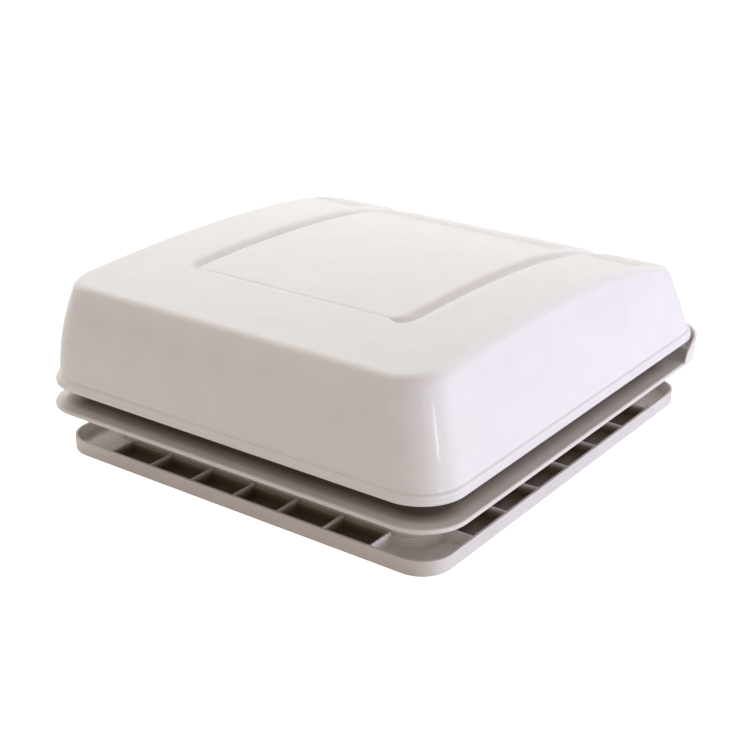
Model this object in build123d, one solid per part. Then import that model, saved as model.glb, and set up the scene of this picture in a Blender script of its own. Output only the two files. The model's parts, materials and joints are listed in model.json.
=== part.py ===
"""Crank operated roof hatch for a caravan or camper, closed, in millimetres.

The origin is the middle of the roof cut-out, in the plane where the outer flange sits on the roof.
+Z points up through the roof, +Y to the hinge side and +X to the right seen from the front.
The lid opens about the rear hinge axis. A worm turns a wheel on the arm's shaft, and a shoe on the
arm's tip runs in a rail under the lid. The arm is as long as the distance from the hinge axis to
its own shaft, so the arm turns by exactly twice the lid's angle.
"""
from build123d import *
from math import atan2, cos, degrees, hypot, pi, radians, sin, sqrt
import os

# Roof opening and neck
cutout = 400.0
neck_gap = 5.0
neck_wall = 3.0
neck_corner = 32.0
roof_gap = 36.0
upstand_top = 36.0
neck_out = cutout / 2 - neck_gap
neck_in = neck_out - neck_wall

# Fits
seat_gap = 0.1
running_fit = 0.05
screw_fit = 0.1
press_fit = 0.03

# Inner frame, the ribbed ring below the ceiling
side_border = 33.0
rear_border = 69.0
ring_height = 16.0
ring_floor = 2.6
ring_rim = 2.6
ring_corner = 32.0
collar_gap = 0.5
collar_wall = 2.5
collar_height = 12.5
rib_wall = 2.0
rib_drop = 0.5
rib_count = 7
front_rib_pitch = 54.2
side_rib_pitch = 57.9
side_rib_middle = 13.6
ceiling_hole_r = 2.25
ceiling_hole_in = 16.0
collar_in = neck_out + collar_gap
collar_out = collar_in + collar_wall
ring_x = collar_out + side_border
ring_front = -ring_x
ring_rear = collar_out + rear_border
ring_top = -roof_gap
ring_bottom = ring_top - ring_height
ledge_wide = 16.0
ledge_in = neck_in - ledge_wide
ledge_step = 2.6
ledge_wall = 3.0
ledge_low = ring_bottom + ledge_step
ledge_high = ledge_low + ledge_wall
neck_bottom = ledge_high + 0.2

# Clamp screws, from the inner frame up into bosses on the neck
clamp_in = 4.5
clamp_side_y = 100.0
clamp_end_x = 110.0
clamp_boss_r = 4.8
clamp_boss_top = -12.0
clamp_r = 1.55
clamp_length = 21.0

# Outer frame: flange, concave sweep to the upstand, and cowl
flange_over = 52.0
flange_wall = 4.5
flange_corner = 47.0
flange_rear = 292.5
seat_land = 9.0
sweep_foot = neck_out + 46.0
sweep_top = 34.0
sweep_wall = 2.8
upstand_out = neck_out + 8.5
upstand_wall = 2.5
frame_rib_wall = 2.0
frame_rib_gap = 0.25
flange_x = neck_out + flange_over
flange_front = -(flange_x + 0.4)
seat_in = flange_x - seat_land
seat_corner = 43.0

# Cowl round the rear edge of the flange, and the side view of its front ends as (y, z)
cowl_foot = 3.0
cowl_top = 28.5
cowl_wall = 3.3
cowl_lean = 2.0
cowl_start = 233.0
cowl_rise = [
    (cowl_start, cowl_foot),
    (cowl_start + 3, 14.3),
    (cowl_start + 9, 21.1),
    (cowl_start + 16, 25.1),
    (cowl_start + 29, cowl_top),
]

# Lid
lid_x = 244.0
lid_front = -246.7
lid_rear = 286.0
lid_corner = 46.6
lip_low = 26.0
lip_band = 31.0
lip_high = 35.5
lip_out = 4.0
lid_wall = 3.0
edge_round = 13.0
crown_points = [
    (-262.0, 132.6),
    (-175.0, 138.0),
    (-103.0, 141.0),
    (-25.0, 142.0),
    (58.0, 138.8),
    (148.0, 129.4),
    (206.0, 118.0),
    (246.0, 104.6),
    (306.0, 78.0),
]
# Height above the lip, then the insets of the front, side and rear walls
wall_steps = [
    (0.0, 4.0, 4.0, 4.0),
    (22.0, 4.3, 6.2, 14.0),
    (46.0, 6.4, 10.2, 25.0),
    (70.0, 10.6, 16.6, 36.5),
    (92.0, 16.0, 23.6, 48.0),
    (112.0, 22.0, 31.0, 60.0),
]
corner_shrink = 0.45
groove_panel_x = 127.0
groove_panel_rear_x = 120.0
groove_panel_front = -128.0
groove_wide = 12.0
groove_wide_rear = 30.0
groove_depth = 3.2
groove_out_corner = 16.0
groove_in_corner = 7.0

# Inner pan of the lid
pan_low = 44.0
pan_wall = 2.5
pan_half = 188.0
pan_corner = 28.0
pan_taper = 8.0
pan_fit = 0.15

# Lid hinge
hinge_y = 268.0
hinge_z = 34.0
hinge_x = 130.0
knuckle_r = 5.5
knuckle_long = 11.4
lug_wall = 6.0
lug_gap = 0.3
hinge_pin_r = 2.5
bracket_wall = 2.5
bracket_wide = 16.0
bracket_front = 238.0
bracket_rear = 272.0
hinge_screw_ys = (243.0, 254.0)
hinge_screw_r = 1.5
hinge_boss_r = 4.5
hinge_boss_high = 9.0

# Lifting mechanism
arm_y = 135.0
arm_z = 5.0
rail_rise = 6.0
module = 1.5
wheel_teeth = 20
worm_pitch_r = 7.0
worm_height = 2.9
worm_turns = 4
wheel_wall = 6.0
drive_x = -14.0
shaft_r = 4.0
flat_cut = 0.9
arm_x_low = 3.3
arm_wall = 5.0
arm_hub_r = 9.0
arm_tip_r = 7.5
shoe_pin_r = 2.5
rail_low = 10.0
rail_high = 12.0
rail_wide = 20.0
rail_wall = 1.5
rail_slot = 8.0
rivet_r = 2.0
rivet_end = 12.0
rail_start = hinge_y - pan_half + 9.0
rail_end = 270.0
shoe_long = 18.0
shoe_fit = 0.2
tongue_wide = 6.0

wheel_pitch_r = module * wheel_teeth / 2
thread_pitch = pi * module
wheel_out_r = wheel_pitch_r + 1.3
wheel_root_r = wheel_pitch_r - 1.6
worm_out_r = worm_pitch_r + 1.3
worm_root_r = worm_out_r - worm_height
worm_y = arm_y - wheel_pitch_r - worm_pitch_r
arm_length = hypot(hinge_y - arm_y, hinge_z - arm_z)
arm_dip = degrees(atan2(hinge_z - arm_z, hinge_y - arm_y))
tip_reach = 2 * arm_length * cos(radians(arm_dip + rail_rise))
tip_y = hinge_y - tip_reach * cos(radians(rail_rise))
tip_z = hinge_z + tip_reach * sin(radians(rail_rise))
arm_angle = degrees(atan2(tip_z - arm_z, arm_y - tip_y))

# Gear case, half in x each side of the drive's middle plane
case_half = 13.0
case_r = 22.0
case_top = 30.0
case_low = -22.0
case_end = 101.0
case_ear_r = 5.0
case_ears = ((151.5, 21.5), (151.5, -11.5), (97.5, 4.0))
case_split = 0.05
wheel_room_r = 17.2
wheel_room_half = 5.0
worm_room_r = 9.2
worm_low = -8.0
worm_high = 18.0
journal_r = 3.5
worm_bush_r = 5.5
worm_bush_long = 5.6
shaft_bush_r = 6.0
shaft_bush_long = 6.5
bush_flange_r = 8.0
bush_flange = 1.1
case_screw_r = 1.5

# Bracket of the operator on the neck's rear wall
plate_wall = 2.5
pad_deep = 6.0
pad_left = -70.0
pad_low = -22.0
pad_high = 30.0
bracket_screw_r = 1.5
bracket_screw_xs = (-61.0, -41.0)
bracket_screw_zs = (-12.0, 20.0)

# Crank
crank_throw = 42.0
crank_screw_r = 1.5
square_half = 2.5
hub_r = 8.0
hub_high = -33.0
hub_low = -43.0
bar_wall = 5.0
bar_half = 5.0
fold_z = -45.5
fold_eye_r = 3.4
fold_pin_r = 1.5
spindle_r = 2.0
grip_r = 6.2
grip_end = 22.0
grip_start = -1.0
fold_x = drive_x + crank_throw

# Operator trim and fly screen, both held by the ledge
trim_front = 60.0
trim_fit = 0.6
trim_flange_wide = 6.6
trim_half = ledge_in - trim_fit
trim_flange_half = trim_half + trim_flange_wide
trim_wall = 2.5
trim_top = -27.5
trim_hole_r = 10.0
trim_screw_r = 1.4
trim_screw_in = 3.2
trim_screw_x = ledge_in + trim_screw_in
trim_screw_ys = (85.0, 165.0)
screen_fit = 0.7
screen_half = ledge_in - screen_fit
screen_rear = 59.4
screen_low = -49.3
screen_high = -44.3
screen_wide = 14.0
spline_r = 1.2
mesh_wall = 0.5
screen_nib_wide = 20.0
screen_nib_wall = 1.8
screen_nib_side_ys = (-120.0, -30.0)
screen_nib_front_xs = (-60.0, 60.0)
clip_screw_r = 1.4
clip_in = 5.0
clip_x = neck_in - clip_in
clip_y = 40.0
clip_reach = 18.0
clip_wall = 2.0
clip_low = -51.6


def rounded(half, y_low, y_high, corner, z):
    """A rounded rectangle, 2 x half wide, from y_low to y_high, at height z."""
    middle = Pos(0, (y_low + y_high) / 2, z)
    return middle * RectangleRounded(2 * half, y_high - y_low, corner)


def slab(half, y_low, y_high, corner, z_low, z_high):
    return extrude(rounded(half, y_low, y_high, corner, z_low), z_high - z_low)


def square_slab(half, corner, z_low, z_high):
    return slab(half, -half, half, corner, z_low, z_high)


def block(x_low, x_high, y_low, y_high, z_low, z_high):
    middle = Pos((x_low + x_high) / 2, (y_low + y_high) / 2, (z_low + z_high) / 2)
    return middle * Box(x_high - x_low, y_high - y_low, z_high - z_low)


def rod_z(x, y, r, z_low, z_high):
    return Pos(x, y, (z_low + z_high) / 2) * Cylinder(r, z_high - z_low)


def rod_x(y, z, r, x_low, x_high):
    return Pos((x_low + x_high) / 2, y, z) * Rot(0, 90, 0) * Cylinder(r, x_high - x_low)


def rod_y(x, z, r, y_low, y_high):
    return Pos(x, (y_low + y_high) / 2, z) * Rot(90, 0, 0) * Cylinder(r, y_high - y_low)


def side_profile(points, x_low, x_high):
    """A polygon of (y, z) points carried along X."""
    wire = Polyline(*[(x_low, y, z) for y, z in points], close=True)
    return extrude(make_face(wire), x_high - x_low, dir=(1, 0, 0))


def screw(head_r, head_high, shank_r, length):
    """A pan head screw, head below the origin, shank up, with a cross slot."""
    head = rod_z(0, 0, head_r, -head_high, 0)
    head = fillet(head.edges().group_by(Axis.Z)[0], 0.4 * head_high)
    for turn in (0, 90):
        slot = block(-0.6 * head_r, 0.6 * head_r, -0.4, 0.4, -head_high, -0.5 * head_high)
        head = head - Rot(0, 0, turn) * slot
    shank = rod_z(0, 0, shank_r, 0, length)
    tip = chamfer(shank.edges().group_by(Axis.Z)[-1], 0.4 * shank_r)
    return head + tip


def rail_frame():
    """The place whose x is the hatch's X, y runs forward along the rail and z is off the rail."""
    return Pos(0, hinge_y, hinge_z) * Rot(-rail_rise, 0, 0) * Rot(0, 0, 180)


def save(name, shape):
    export_step(shape, os.path.join("parts", name + ".step"))


# Lid


def under_crown(drop):
    """All that lies under the crown's side view lowered by a distance."""
    points = [(0, y, z - drop) for y, z in crown_points]
    line = Spline(*points)
    first = points[0]
    last = points[-1]
    walls = Polyline(last, (0, last[1], 0), (0, first[1], 0), first)
    return Pos(-300, 0, 0) * extrude(make_face(line + walls), 600, dir=(1, 0, 0))


def lid_walls(inward):
    """The lofted walls of the lid, drawn in by a distance."""
    sections = []
    for rise, front, side, rear in wall_steps:
        half = lid_x - side - inward
        low = lid_front + front + inward
        high = lid_rear - rear - inward
        corner = lid_corner - corner_shrink * front - inward
        sections.append(rounded(half, low, high, corner, lip_high + rise))
    return loft(sections)


def lid_form(inward):
    body = lid_walls(inward) & under_crown(inward)
    top = body.faces().sort_by(Axis.Z)[-1]
    return fillet(top.edges(), edge_round - inward)


def groove(depth, grow):
    """A three sided channel down to a depth below the crown, open to the rear and wider there."""
    front = groove_panel_front - groove_wide
    rear = lid_rear + 10
    out_front = groove_panel_x + groove_wide + grow
    out_rear = groove_panel_rear_x + groove_wide_rear + grow
    in_front = groove_panel_x - grow
    in_rear = groove_panel_rear_x - grow
    outside = make_face(
        Polyline(
            (-out_front, front - grow, 0),
            (out_front, front - grow, 0),
            (out_rear, rear, 0),
            (-out_rear, rear, 0),
            close=True,
        )
    )
    inside = make_face(
        Polyline(
            (-in_front, groove_panel_front + grow, 0),
            (in_front, groove_panel_front + grow, 0),
            (in_rear, rear, 0),
            (-in_rear, rear, 0),
            close=True,
        )
    )
    outside = fillet(outside.vertices().sort_by(Axis.Y)[:2], groove_out_corner + grow)
    inside = fillet(inside.vertices().sort_by(Axis.Y)[:2], groove_in_corner - 0.5 * grow)
    return extrude(outside, 200) - extrude(inside, 200) - under_crown(depth)


def lid_dome():
    skirt = slab(lid_x, lid_front, lid_rear, lid_corner, lip_low, lip_band)
    skirt = fillet(skirt.edges().group_by(Axis.Z)[-1], 0.7)
    skirt = skirt + slab(lid_x - 1, lid_front + 1, lid_rear - 1, lid_corner - 1, lip_band - 1, lip_high)
    inset = lip_out + lid_wall
    corner = lid_corner - lid_wall - 1.8
    hollow = slab(lid_x - inset, lid_front + inset, lid_rear - inset, corner, lip_low, lip_high)
    outer = lid_form(0) - groove(groove_depth, 0)
    inner = lid_form(lid_wall) - groove(groove_depth + lid_wall, lid_wall)
    return (skirt - hollow) + (outer - inner)


def pan_hat(inward):
    """The raised middle of the pan, tapering up to a roof that lies along the rail."""
    half = pan_half - inward
    base = rounded(half, -half, half, pan_corner - inward, pan_low)
    hat = extrude(base, 74, taper=pan_taper)
    roof_low = rail_low + rail_high + 0.25
    roof = rail_frame() * Pos(0, 250, roof_low + pan_wall - inward + 50) * Box(700, 800, 100)
    return hat - roof


def lid_inner_pan():
    flange = slab(lid_x, lid_front, lid_rear, lid_corner, pan_low, pan_low + pan_wall)
    flange = flange & lid_walls(lid_wall + pan_fit)
    pan = flange + pan_hat(0)
    for side in (-1, 1):
        for y in hinge_screw_ys:
            pan = pan + rod_z(side * hinge_x, y, hinge_boss_r, pan_low, pan_low + hinge_boss_high)
    pan = pan - pan_hat(pan_wall)
    for side in (-1, 1):
        for y in hinge_screw_ys:
            hole_top = pan_low + hinge_boss_high - 1.5
            pan = pan - rod_z(side * hinge_x, y, hinge_screw_r + screw_fit, pan_low, hole_top)
    for place in rivet_places():
        hole = Cylinder(rivet_r + screw_fit, 3 * pan_wall)
        pan = pan - rail_frame() * Pos(0, place, rail_low + rail_high + pan_wall) * hole
    return pan


# Outer frame


def sweep_sections(inward):
    """Rounded squares up the concave sweep, tangent to the flange below and upright on top."""
    sections = []
    wide = sweep_foot - upstand_out
    high = sweep_top - flange_wall
    for turn in (0, 15, 32, 50, 68, 90):
        angle = radians(turn)
        half = upstand_out + wide * (1 - sin(angle)) - inward * sin(angle)
        z = flange_wall + high * (1 - cos(angle)) - inward * cos(angle)
        corner = neck_corner + (half - neck_out) * 0.3
        sections.append(rounded(half, -half, half, corner, z))
    return sections


def sweep_shell():
    """The concave sweep from the flange to the upstand, hollow below."""
    sweep = loft(sweep_sections(0))
    room = loft(sweep_sections(sweep_wall))
    room = room + square_slab(seat_in, seat_corner, 0, flange_wall - sweep_wall)
    return (sweep + square_slab(seat_in + 1, seat_corner + 1, 0, flange_wall)) - room


def outer_frame():
    plate = slab(flange_x, flange_front, flange_rear, flange_corner, 0, flange_wall)
    plate = fillet(plate.edges().group_by(Axis.Z)[-1], 2.0)
    plate = plate - square_slab(seat_in, seat_corner, 0, flange_wall)
    cap = square_slab(upstand_out, neck_corner + 1, upstand_top - upstand_wall, upstand_top)
    cap = fillet(cap.edges().group_by(Axis.Z)[-1], 0.8)
    frame = plate + sweep_shell() + cap
    frame = frame - square_slab(neck_in, neck_corner - neck_wall, upstand_top / 2, upstand_top + 1)
    return frame + hinge_lugs() - cowl_step()


def frame_neck():
    """The tube through the roof, with bosses for the clamp screws and the operator's pad."""
    top = upstand_top - upstand_wall - seat_gap
    neck = square_slab(neck_out, neck_corner, neck_bottom, top)
    neck = neck - square_slab(neck_in, neck_corner - neck_wall, neck_bottom, top)
    for x, y in clamp_places():
        neck = neck + rod_z(x, y, clamp_boss_r, neck_bottom, clamp_boss_top)
    pad_right = drive_x - case_half
    neck = neck + block(pad_left, pad_right, neck_in - pad_deep, neck_in + 1, pad_low, pad_high)
    for x, y in clamp_places():
        hole_top = ledge_low + clamp_length + 1
        neck = neck - rod_z(x, y, clamp_r + screw_fit / 2, neck_bottom, hole_top)
    for x in bracket_screw_xs:
        for z in bracket_screw_zs:
            hole_end = neck_out - neck_wall / 2
            hole_r = bracket_screw_r + screw_fit / 2
            neck = neck - rod_y(x, z, hole_r, neck_in - pad_deep, hole_end)
    return neck


def diagonal(half, corner):
    """How far a rounded square reaches along its diagonal."""
    return (half - corner) * sqrt(2) + corner


def rib_outline(on_corner):
    """Points (outward, z) of a rib that fills the room under the sweep, square on or on a corner."""
    wide = sweep_foot - upstand_out
    high = sweep_top - flange_wall
    deep = sweep_wall + frame_rib_gap
    rib_top = upstand_top - upstand_wall - seat_gap
    end = seat_in - seat_gap
    start = neck_out + seat_gap
    if on_corner:
        end = diagonal(seat_in, seat_corner) - seat_gap
        start = diagonal(neck_out, neck_corner) + seat_gap
    points = []
    for turn in range(90, -1, -10):
        angle = radians(turn)
        out = upstand_out + wide * (1 - sin(angle)) - deep * sin(angle)
        z = flange_wall + high * (1 - cos(angle)) - deep * cos(angle)
        if on_corner:
            out = diagonal(out, neck_corner + (out - neck_out) * 0.3)
        points.append((min(out, end), min(z, rib_top)))
    return points + [(end, 0), (start, 0), (start, rib_top)]


def frame_ribs():
    """Ribs under the sweep, square to the neck, and one on each corner."""
    half = frame_rib_wall / 2
    plain = side_profile(rib_outline(False), -half, half)
    slanted = side_profile(rib_outline(True), -half, half)
    ribs = []
    for turn in (0, 90, 180, 270):
        for k in range(rib_count):
            ribs.append(Rot(0, 0, turn) * Pos((k - 3) * front_rib_pitch, 0, 0) * plain)
        ribs.append(Rot(0, 0, turn + 45) * slanted)
    return ribs


def rear_cowl():
    """The low wall round the rear edge, leaning out, with ends that sweep down to the flange."""
    forms = []
    for inward in (0, cowl_wall):
        corner = flange_corner - inward
        foot = rounded(flange_x - inward, 100, flange_rear - inward, corner, cowl_foot)
        lean = cowl_lean - inward
        head = rounded(flange_x + lean, 100, flange_rear + lean, flange_corner + lean, cowl_top)
        forms.append(loft([foot, head]))
    wall = forms[0] - forms[1]
    first = (0, *cowl_rise[0])
    last = (0, *cowl_rise[-1])
    rise = Spline(*[(0, y, z) for y, z in cowl_rise], tangents=[(0, 0.15, 1), (0, 1, 0.08)])
    beyond = flange_rear + 20
    back = Polyline(last, (0, beyond, cowl_top), (0, beyond, cowl_foot), first)
    region = Pos(-300, 0, 0) * extrude(make_face(rise + back), 600, dir=(1, 0, 0))
    return wall & region


def cowl_step():
    """The step round the flange's rear edge that the cowl's foot stands in."""
    low = cowl_foot - seat_gap
    inward = cowl_wall + seat_gap
    around = block(-300, 300, cowl_start - seat_gap, 400, low, flange_wall + 1)
    corner = flange_corner - inward
    kept = slab(flange_x - inward, 100, flange_rear - inward, corner, low, flange_wall + 1)
    return around - kept


def lug_edges():
    inner = hinge_x - knuckle_long / 2 - lug_gap - lug_wall
    outer = hinge_x + knuckle_long / 2 + lug_gap
    return (inner, outer)


def hinge_lugs():
    """Two pairs of goosenecked lugs that rise from the trough behind the sweep."""
    lugs = Part()
    outline = [(237, 3), (258, 3), (266.4, 28.8), (262.6, 35.2), (247, 20)]
    for side in (-1, 1):
        for edge in lug_edges():
            low = min(side * edge, side * (edge + lug_wall))
            high = low + lug_wall
            lug = side_profile(outline, low, high) + rod_x(hinge_y, hinge_z, knuckle_r, low, high)
            lugs = lugs + (lug - rod_x(hinge_y, hinge_z, hinge_pin_r + running_fit, low, high))
    return lugs


def clamp_places():
    edge = neck_in - clamp_in
    places = []
    for a in (-1, 1):
        for b in (-1, 1):
            places.append((a * edge, b * clamp_side_y))
            places.append((a * clamp_end_x, b * edge))
    return places


def clamp_screws():
    one = screw(4.0, 2.2, clamp_r, clamp_length)
    return [Pos(x, y, ledge_low) * one for x, y in clamp_places()]


def upstand_seal():
    """A hollow rubber bulb that stands on the upstand."""
    base = upstand_top + 0.05
    high = pan_low - 0.3
    outer = square_slab(neck_in + 10, neck_corner - 1, base, high)
    outer = outer - square_slab(neck_in + 1, neck_corner - 10, base, high)
    outer = fillet(outer.edges().group_by(Axis.Z)[-1], 3.6)
    room = square_slab(neck_in + 8.4, neck_corner - 2.6, base + 1.6, high - 1.6)
    room = room - square_slab(neck_in + 2.6, neck_corner - 8.4, base + 1.6, high - 1.6)
    room = fillet(room.edges().group_by(Axis.Z)[-1], 2.0)
    return outer - room


# Inner frame


def ceiling_places():
    """Screw holes in every second channel cell, as (x, y)."""
    places = []
    for k in (0, 2, 4, 6):
        y = side_rib_middle + (k - 2.5) * side_rib_pitch
        x = (k - 2.5) * front_rib_pitch
        places.append((collar_out + ceiling_hole_in + 1, y))
        places.append((-collar_out - ceiling_hole_in - 1, y))
        places.append((x, ring_front + ceiling_hole_in))
        places.append((x, ring_rear - ceiling_hole_in - 6))
    return places


def inner_frame():
    ring = slab(ring_x, ring_front, ring_rear, ring_corner, ring_bottom, ring_top)
    ring = fillet(ring.edges().group_by(Axis.Z)[0], 2.0)
    channel = slab(
        ring_x - ring_rim,
        ring_front + ring_rim,
        ring_rear - ring_rim,
        ring_corner - ring_rim,
        ring_bottom + ring_floor,
        ring_top,
    )
    collar_top = ring_bottom + collar_height
    keep = square_slab(collar_out, neck_corner + collar_gap + collar_wall, ring_bottom, collar_top)
    frame = ring - (channel - keep)
    half = rib_wall / 2
    rib_top = ring_top - rib_drop
    low = ring_bottom + 1
    for k in range(rib_count):
        x = (k - 3) * front_rib_pitch
        y = side_rib_middle + (k - 3) * side_rib_pitch
        frame = frame + block(x - half, x + half, ring_front + 1, -collar_out + 1, low, rib_top)
        frame = frame + block(x - half, x + half, collar_out - 1, ring_rear - 1, low, rib_top)
        if abs(y) < collar_out - neck_corner:
            reach = collar_out - 1
        else:
            reach = collar_out - 9
        frame = frame + block(reach, ring_x - 1, y - half, y + half, low, rib_top)
        frame = frame + block(-ring_x + 1, -reach, y - half, y + half, low, rib_top)
    frame = frame - square_slab(collar_in, neck_corner + collar_gap, ring_bottom, ring_top)
    ledge = square_slab(collar_in + 1, neck_corner + 1, ledge_low, ledge_high)
    frame = frame + (ledge - square_slab(ledge_in, 14, ledge_low, ledge_high))
    for turn in (90, -90):
        for along in screen_nib_side_ys:
            frame = frame + Rot(0, 0, turn) * screen_nib(along * turn / 90, False)
    for along in screen_nib_front_xs:
        frame = frame + screen_nib(along, True)
    for side in (-1, 1):
        frame = frame + rod_z(side * clip_x, clip_y, 4, ledge_high - 1, ledge_high + 3)
        hole_r = clip_screw_r + screw_fit / 2
        frame = frame - rod_z(side * clip_x, clip_y, hole_r, ledge_low, ledge_high + 3)
        for y in trim_screw_ys:
            hole_r = trim_screw_r + screw_fit
            frame = frame - rod_z(side * trim_screw_x, y, hole_r, ledge_low, ledge_high)
    for x, y in clamp_places():
        frame = frame - rod_z(x, y, clamp_r + screw_fit, ledge_low, ledge_high)
    for x, y in ceiling_places():
        frame = frame - rod_z(x, y, ceiling_hole_r, ring_bottom, ring_bottom + ring_floor + 1)
    return frame


def screen_nib(along, with_foot):
    """A nib on the front ledge that holds the fly screen from above, and with a foot from below."""
    low = along - screen_nib_wide / 2
    high = along + screen_nib_wide / 2
    hook_low = screen_high + 0.2
    hook_high = hook_low + screen_nib_wall
    edge = -ledge_in
    nib = block(low, high, edge - 3, edge + 3, hook_low, hook_high)
    nib = nib + block(low, high, edge - 3, edge, ledge_high - 1, hook_low + 0.8)
    if with_foot:
        foot_high = screen_low - 0.2
        nib = nib + block(low, high, edge - 4, edge + 5, foot_high - 2, foot_high)
        nib = nib + block(low, high, edge - 4, edge, foot_high - 0.1, ledge_low + 1)
    return nib


# Hinge


def hinge_bracket(side):
    high = pan_low - seat_gap
    low = high - bracket_wall
    x = side * hinge_x
    plate = block(
        x - bracket_wide / 2, x + bracket_wide / 2, bracket_front, bracket_rear, low, high
    )
    plate = fillet(plate.edges().filter_by(Axis.Z), 2)
    web_low = x - knuckle_long / 2
    web_high = x + knuckle_long / 2
    web_points = [
        (hinge_y - 10, low + 1),
        (bracket_rear, low + 1),
        (hinge_y + knuckle_r, hinge_z),
        (hinge_y - knuckle_r, hinge_z),
    ]
    web = side_profile(web_points, web_low, web_high)
    bracket = plate + web + rod_x(hinge_y, hinge_z, knuckle_r, web_low, web_high)
    bracket = bracket - rod_x(hinge_y, hinge_z, hinge_pin_r + running_fit, web_low, web_high)
    for y in hinge_screw_ys:
        bracket = bracket - rod_z(x, y, hinge_screw_r + screw_fit, low, high)
    return bracket


def hinge_pin(side):
    inner = lug_edges()[0]
    outer = lug_edges()[1] + lug_wall
    head = rod_x(hinge_y, hinge_z, 4, outer + 0.1, outer + 2.1)
    shank = rod_x(hinge_y, hinge_z, hinge_pin_r, inner - 2.4, outer + 0.2)
    shank = chamfer(shank.edges().group_by(Axis.X)[0], 0.4)
    pin = shank + fillet(head.edges().group_by(Axis.X)[-1], 0.8)
    groove_ring = rod_x(hinge_y, hinge_z, 3.5, inner - 1.3, inner - 0.3)
    pin = pin - (groove_ring - rod_x(hinge_y, hinge_z, 1.9, inner - 1.3, inner - 0.3))
    if side < 0:
        pin = mirror(pin, Plane.YZ)
    return pin


def spring_clip(y, z, groove_r, x_low, x_high):
    """An open ring that snaps into a shaft's groove, opening down."""
    ring = rod_x(y, z, groove_r + 2.4, x_low, x_high)
    ring = ring - rod_x(y, z, groove_r + 0.05, x_low, x_high)
    gap = block(x_low, x_high, y - 1.4, y + 1.4, z - groove_r - 3, z)
    return ring - gap


def hinge_clips():
    inner = lug_edges()[0]
    clip = spring_clip(hinge_y, hinge_z, 1.9, inner - 1.2, inner - 0.4)
    return [clip, mirror(clip, Plane.YZ)]


def hinge_screws():
    one = screw(2.8, 2.0, hinge_screw_r, 9.0)
    seat = pan_low - seat_gap - bracket_wall
    places = []
    for side in (-1, 1):
        for y in hinge_screw_ys:
            places.append(Pos(side * hinge_x, y, seat) * one)
    return places


# Rail, shoe and arm


def rivet_places():
    return (rail_start + rivet_end, (rail_start + rail_end) / 2, rail_end - rivet_end)


def lift_rail():
    """A folded channel, open below along a slot, with rivet holes in its top."""
    top = rail_low + rail_high
    long = rail_end - rail_start
    middle = (rail_start + rail_end) / 2
    outer = Pos(0, middle, rail_low + rail_high / 2) * Box(rail_wide, long, rail_high)
    outer = fillet(outer.edges().filter_by(Axis.Y), 1.4)
    inner_wide = rail_wide - 2 * rail_wall
    inner = Pos(0, middle, rail_low + rail_high / 2) * Box(inner_wide, long, rail_high - 2 * rail_wall)
    slot = Pos(0, middle, rail_low) * Box(rail_slot, long, 2 * rail_wall + 1)
    rail = outer - inner - slot
    for place in rivet_places():
        hole = Cylinder(rivet_r + screw_fit, 2 * rail_wall)
        sink = Cone(rivet_r + 1.2, rivet_r + screw_fit, 1.1)
        rail = rail - Pos(0, place, top - rail_wall / 2) * hole
        rail = rail - Pos(0, place, top - rail_wall + 0.55) * sink
    return rail_frame() * rail


def rail_rivets():
    """Rivets from the rail's top through the pan, with a sunk foot and a round head."""
    low = rail_low + rail_high - rail_wall + 0.1
    head_seat = rail_low + rail_high + 0.25 + pan_wall
    shank = Pos(0, 0, (low + head_seat + 0.3) / 2) * Cylinder(rivet_r, head_seat + 0.3 - low)
    foot = Pos(0, 0, low + 0.5) * Cone(rivet_r + 1, rivet_r, 1.0)
    head = Pos(0, 0, head_seat + 0.75) * Cylinder(rivet_r + 1.6, 1.4)
    head = fillet(head.edges().group_by(Axis.Z)[-1], 0.9)
    one = shank + foot + head
    return [rail_frame() * Pos(0, place, 0) * one for place in rivet_places()]


def slider_shoe():
    """A block in the rail, on a tongue that hangs through the slot to the arm's pin."""
    low = rail_low + rail_wall + shoe_fit
    high = rail_low + rail_high - rail_wall - shoe_fit
    wide = rail_wide - 2 * rail_wall - 2 * shoe_fit
    body = Pos(0, 0, (low + high) / 2) * Box(wide, shoe_long, high - low)
    body = fillet(body.edges().filter_by(Axis.Z), 2.0)
    tongue = Pos(0, 0, low / 2 + 0.5) * Box(tongue_wide, 12, low + 1)
    end = Rot(0, 90, 0) * Cylinder(6, tongue_wide)
    bore = Rot(0, 90, 0) * Cylinder(shoe_pin_r + running_fit, tongue_wide + 2)
    return rail_frame() * Pos(0, tip_reach, 0) * (body + tongue + end - bore)


def arm_frame():
    """The place on the arm's shaft whose y axis points to the arm's tip."""
    return Pos(0, arm_y, arm_z) * Rot(-arm_angle, 0, 0) * Rot(0, 0, 180)


def lift_arm():
    """A flat arm with a waist, a hub on the shaft and an eye for the shoe's pin."""
    x_high = -arm_x_low
    x_low = x_high - arm_wall
    waist_y = arm_length * 0.55
    waist = 5.6
    half_outline = [(0, arm_hub_r + 1), (waist_y, waist), (arm_length, arm_tip_r)]
    outline = half_outline + [(y, -z) for y, z in reversed(half_outline)]
    arm = side_profile(outline, x_low, x_high)
    arm = arm + rod_x(0, 0, arm_hub_r + 1, x_low, x_high)
    arm = arm + rod_x(arm_length, 0, arm_tip_r, x_low, x_high)
    arm = arm + rod_x(0, 0, arm_hub_r, -9.0, -1.5)
    slot = Rot(0, 90, 0) * Rot(0, 0, 90) * extrude(SlotOverall(60, 5), 20, both=True)
    arm = arm - Pos(0, arm_length * 0.5, 0) * slot
    flat = shaft_r - flat_cut + press_fit
    bore = rod_x(0, 0, shaft_r + press_fit, -9.5, -1) - block(-9.5, -1, -6, 6, flat, 6)
    arm = arm - bore - rod_x(arm_length, 0, shoe_pin_r + press_fit, x_low, x_high)
    return arm_frame() * arm


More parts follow.
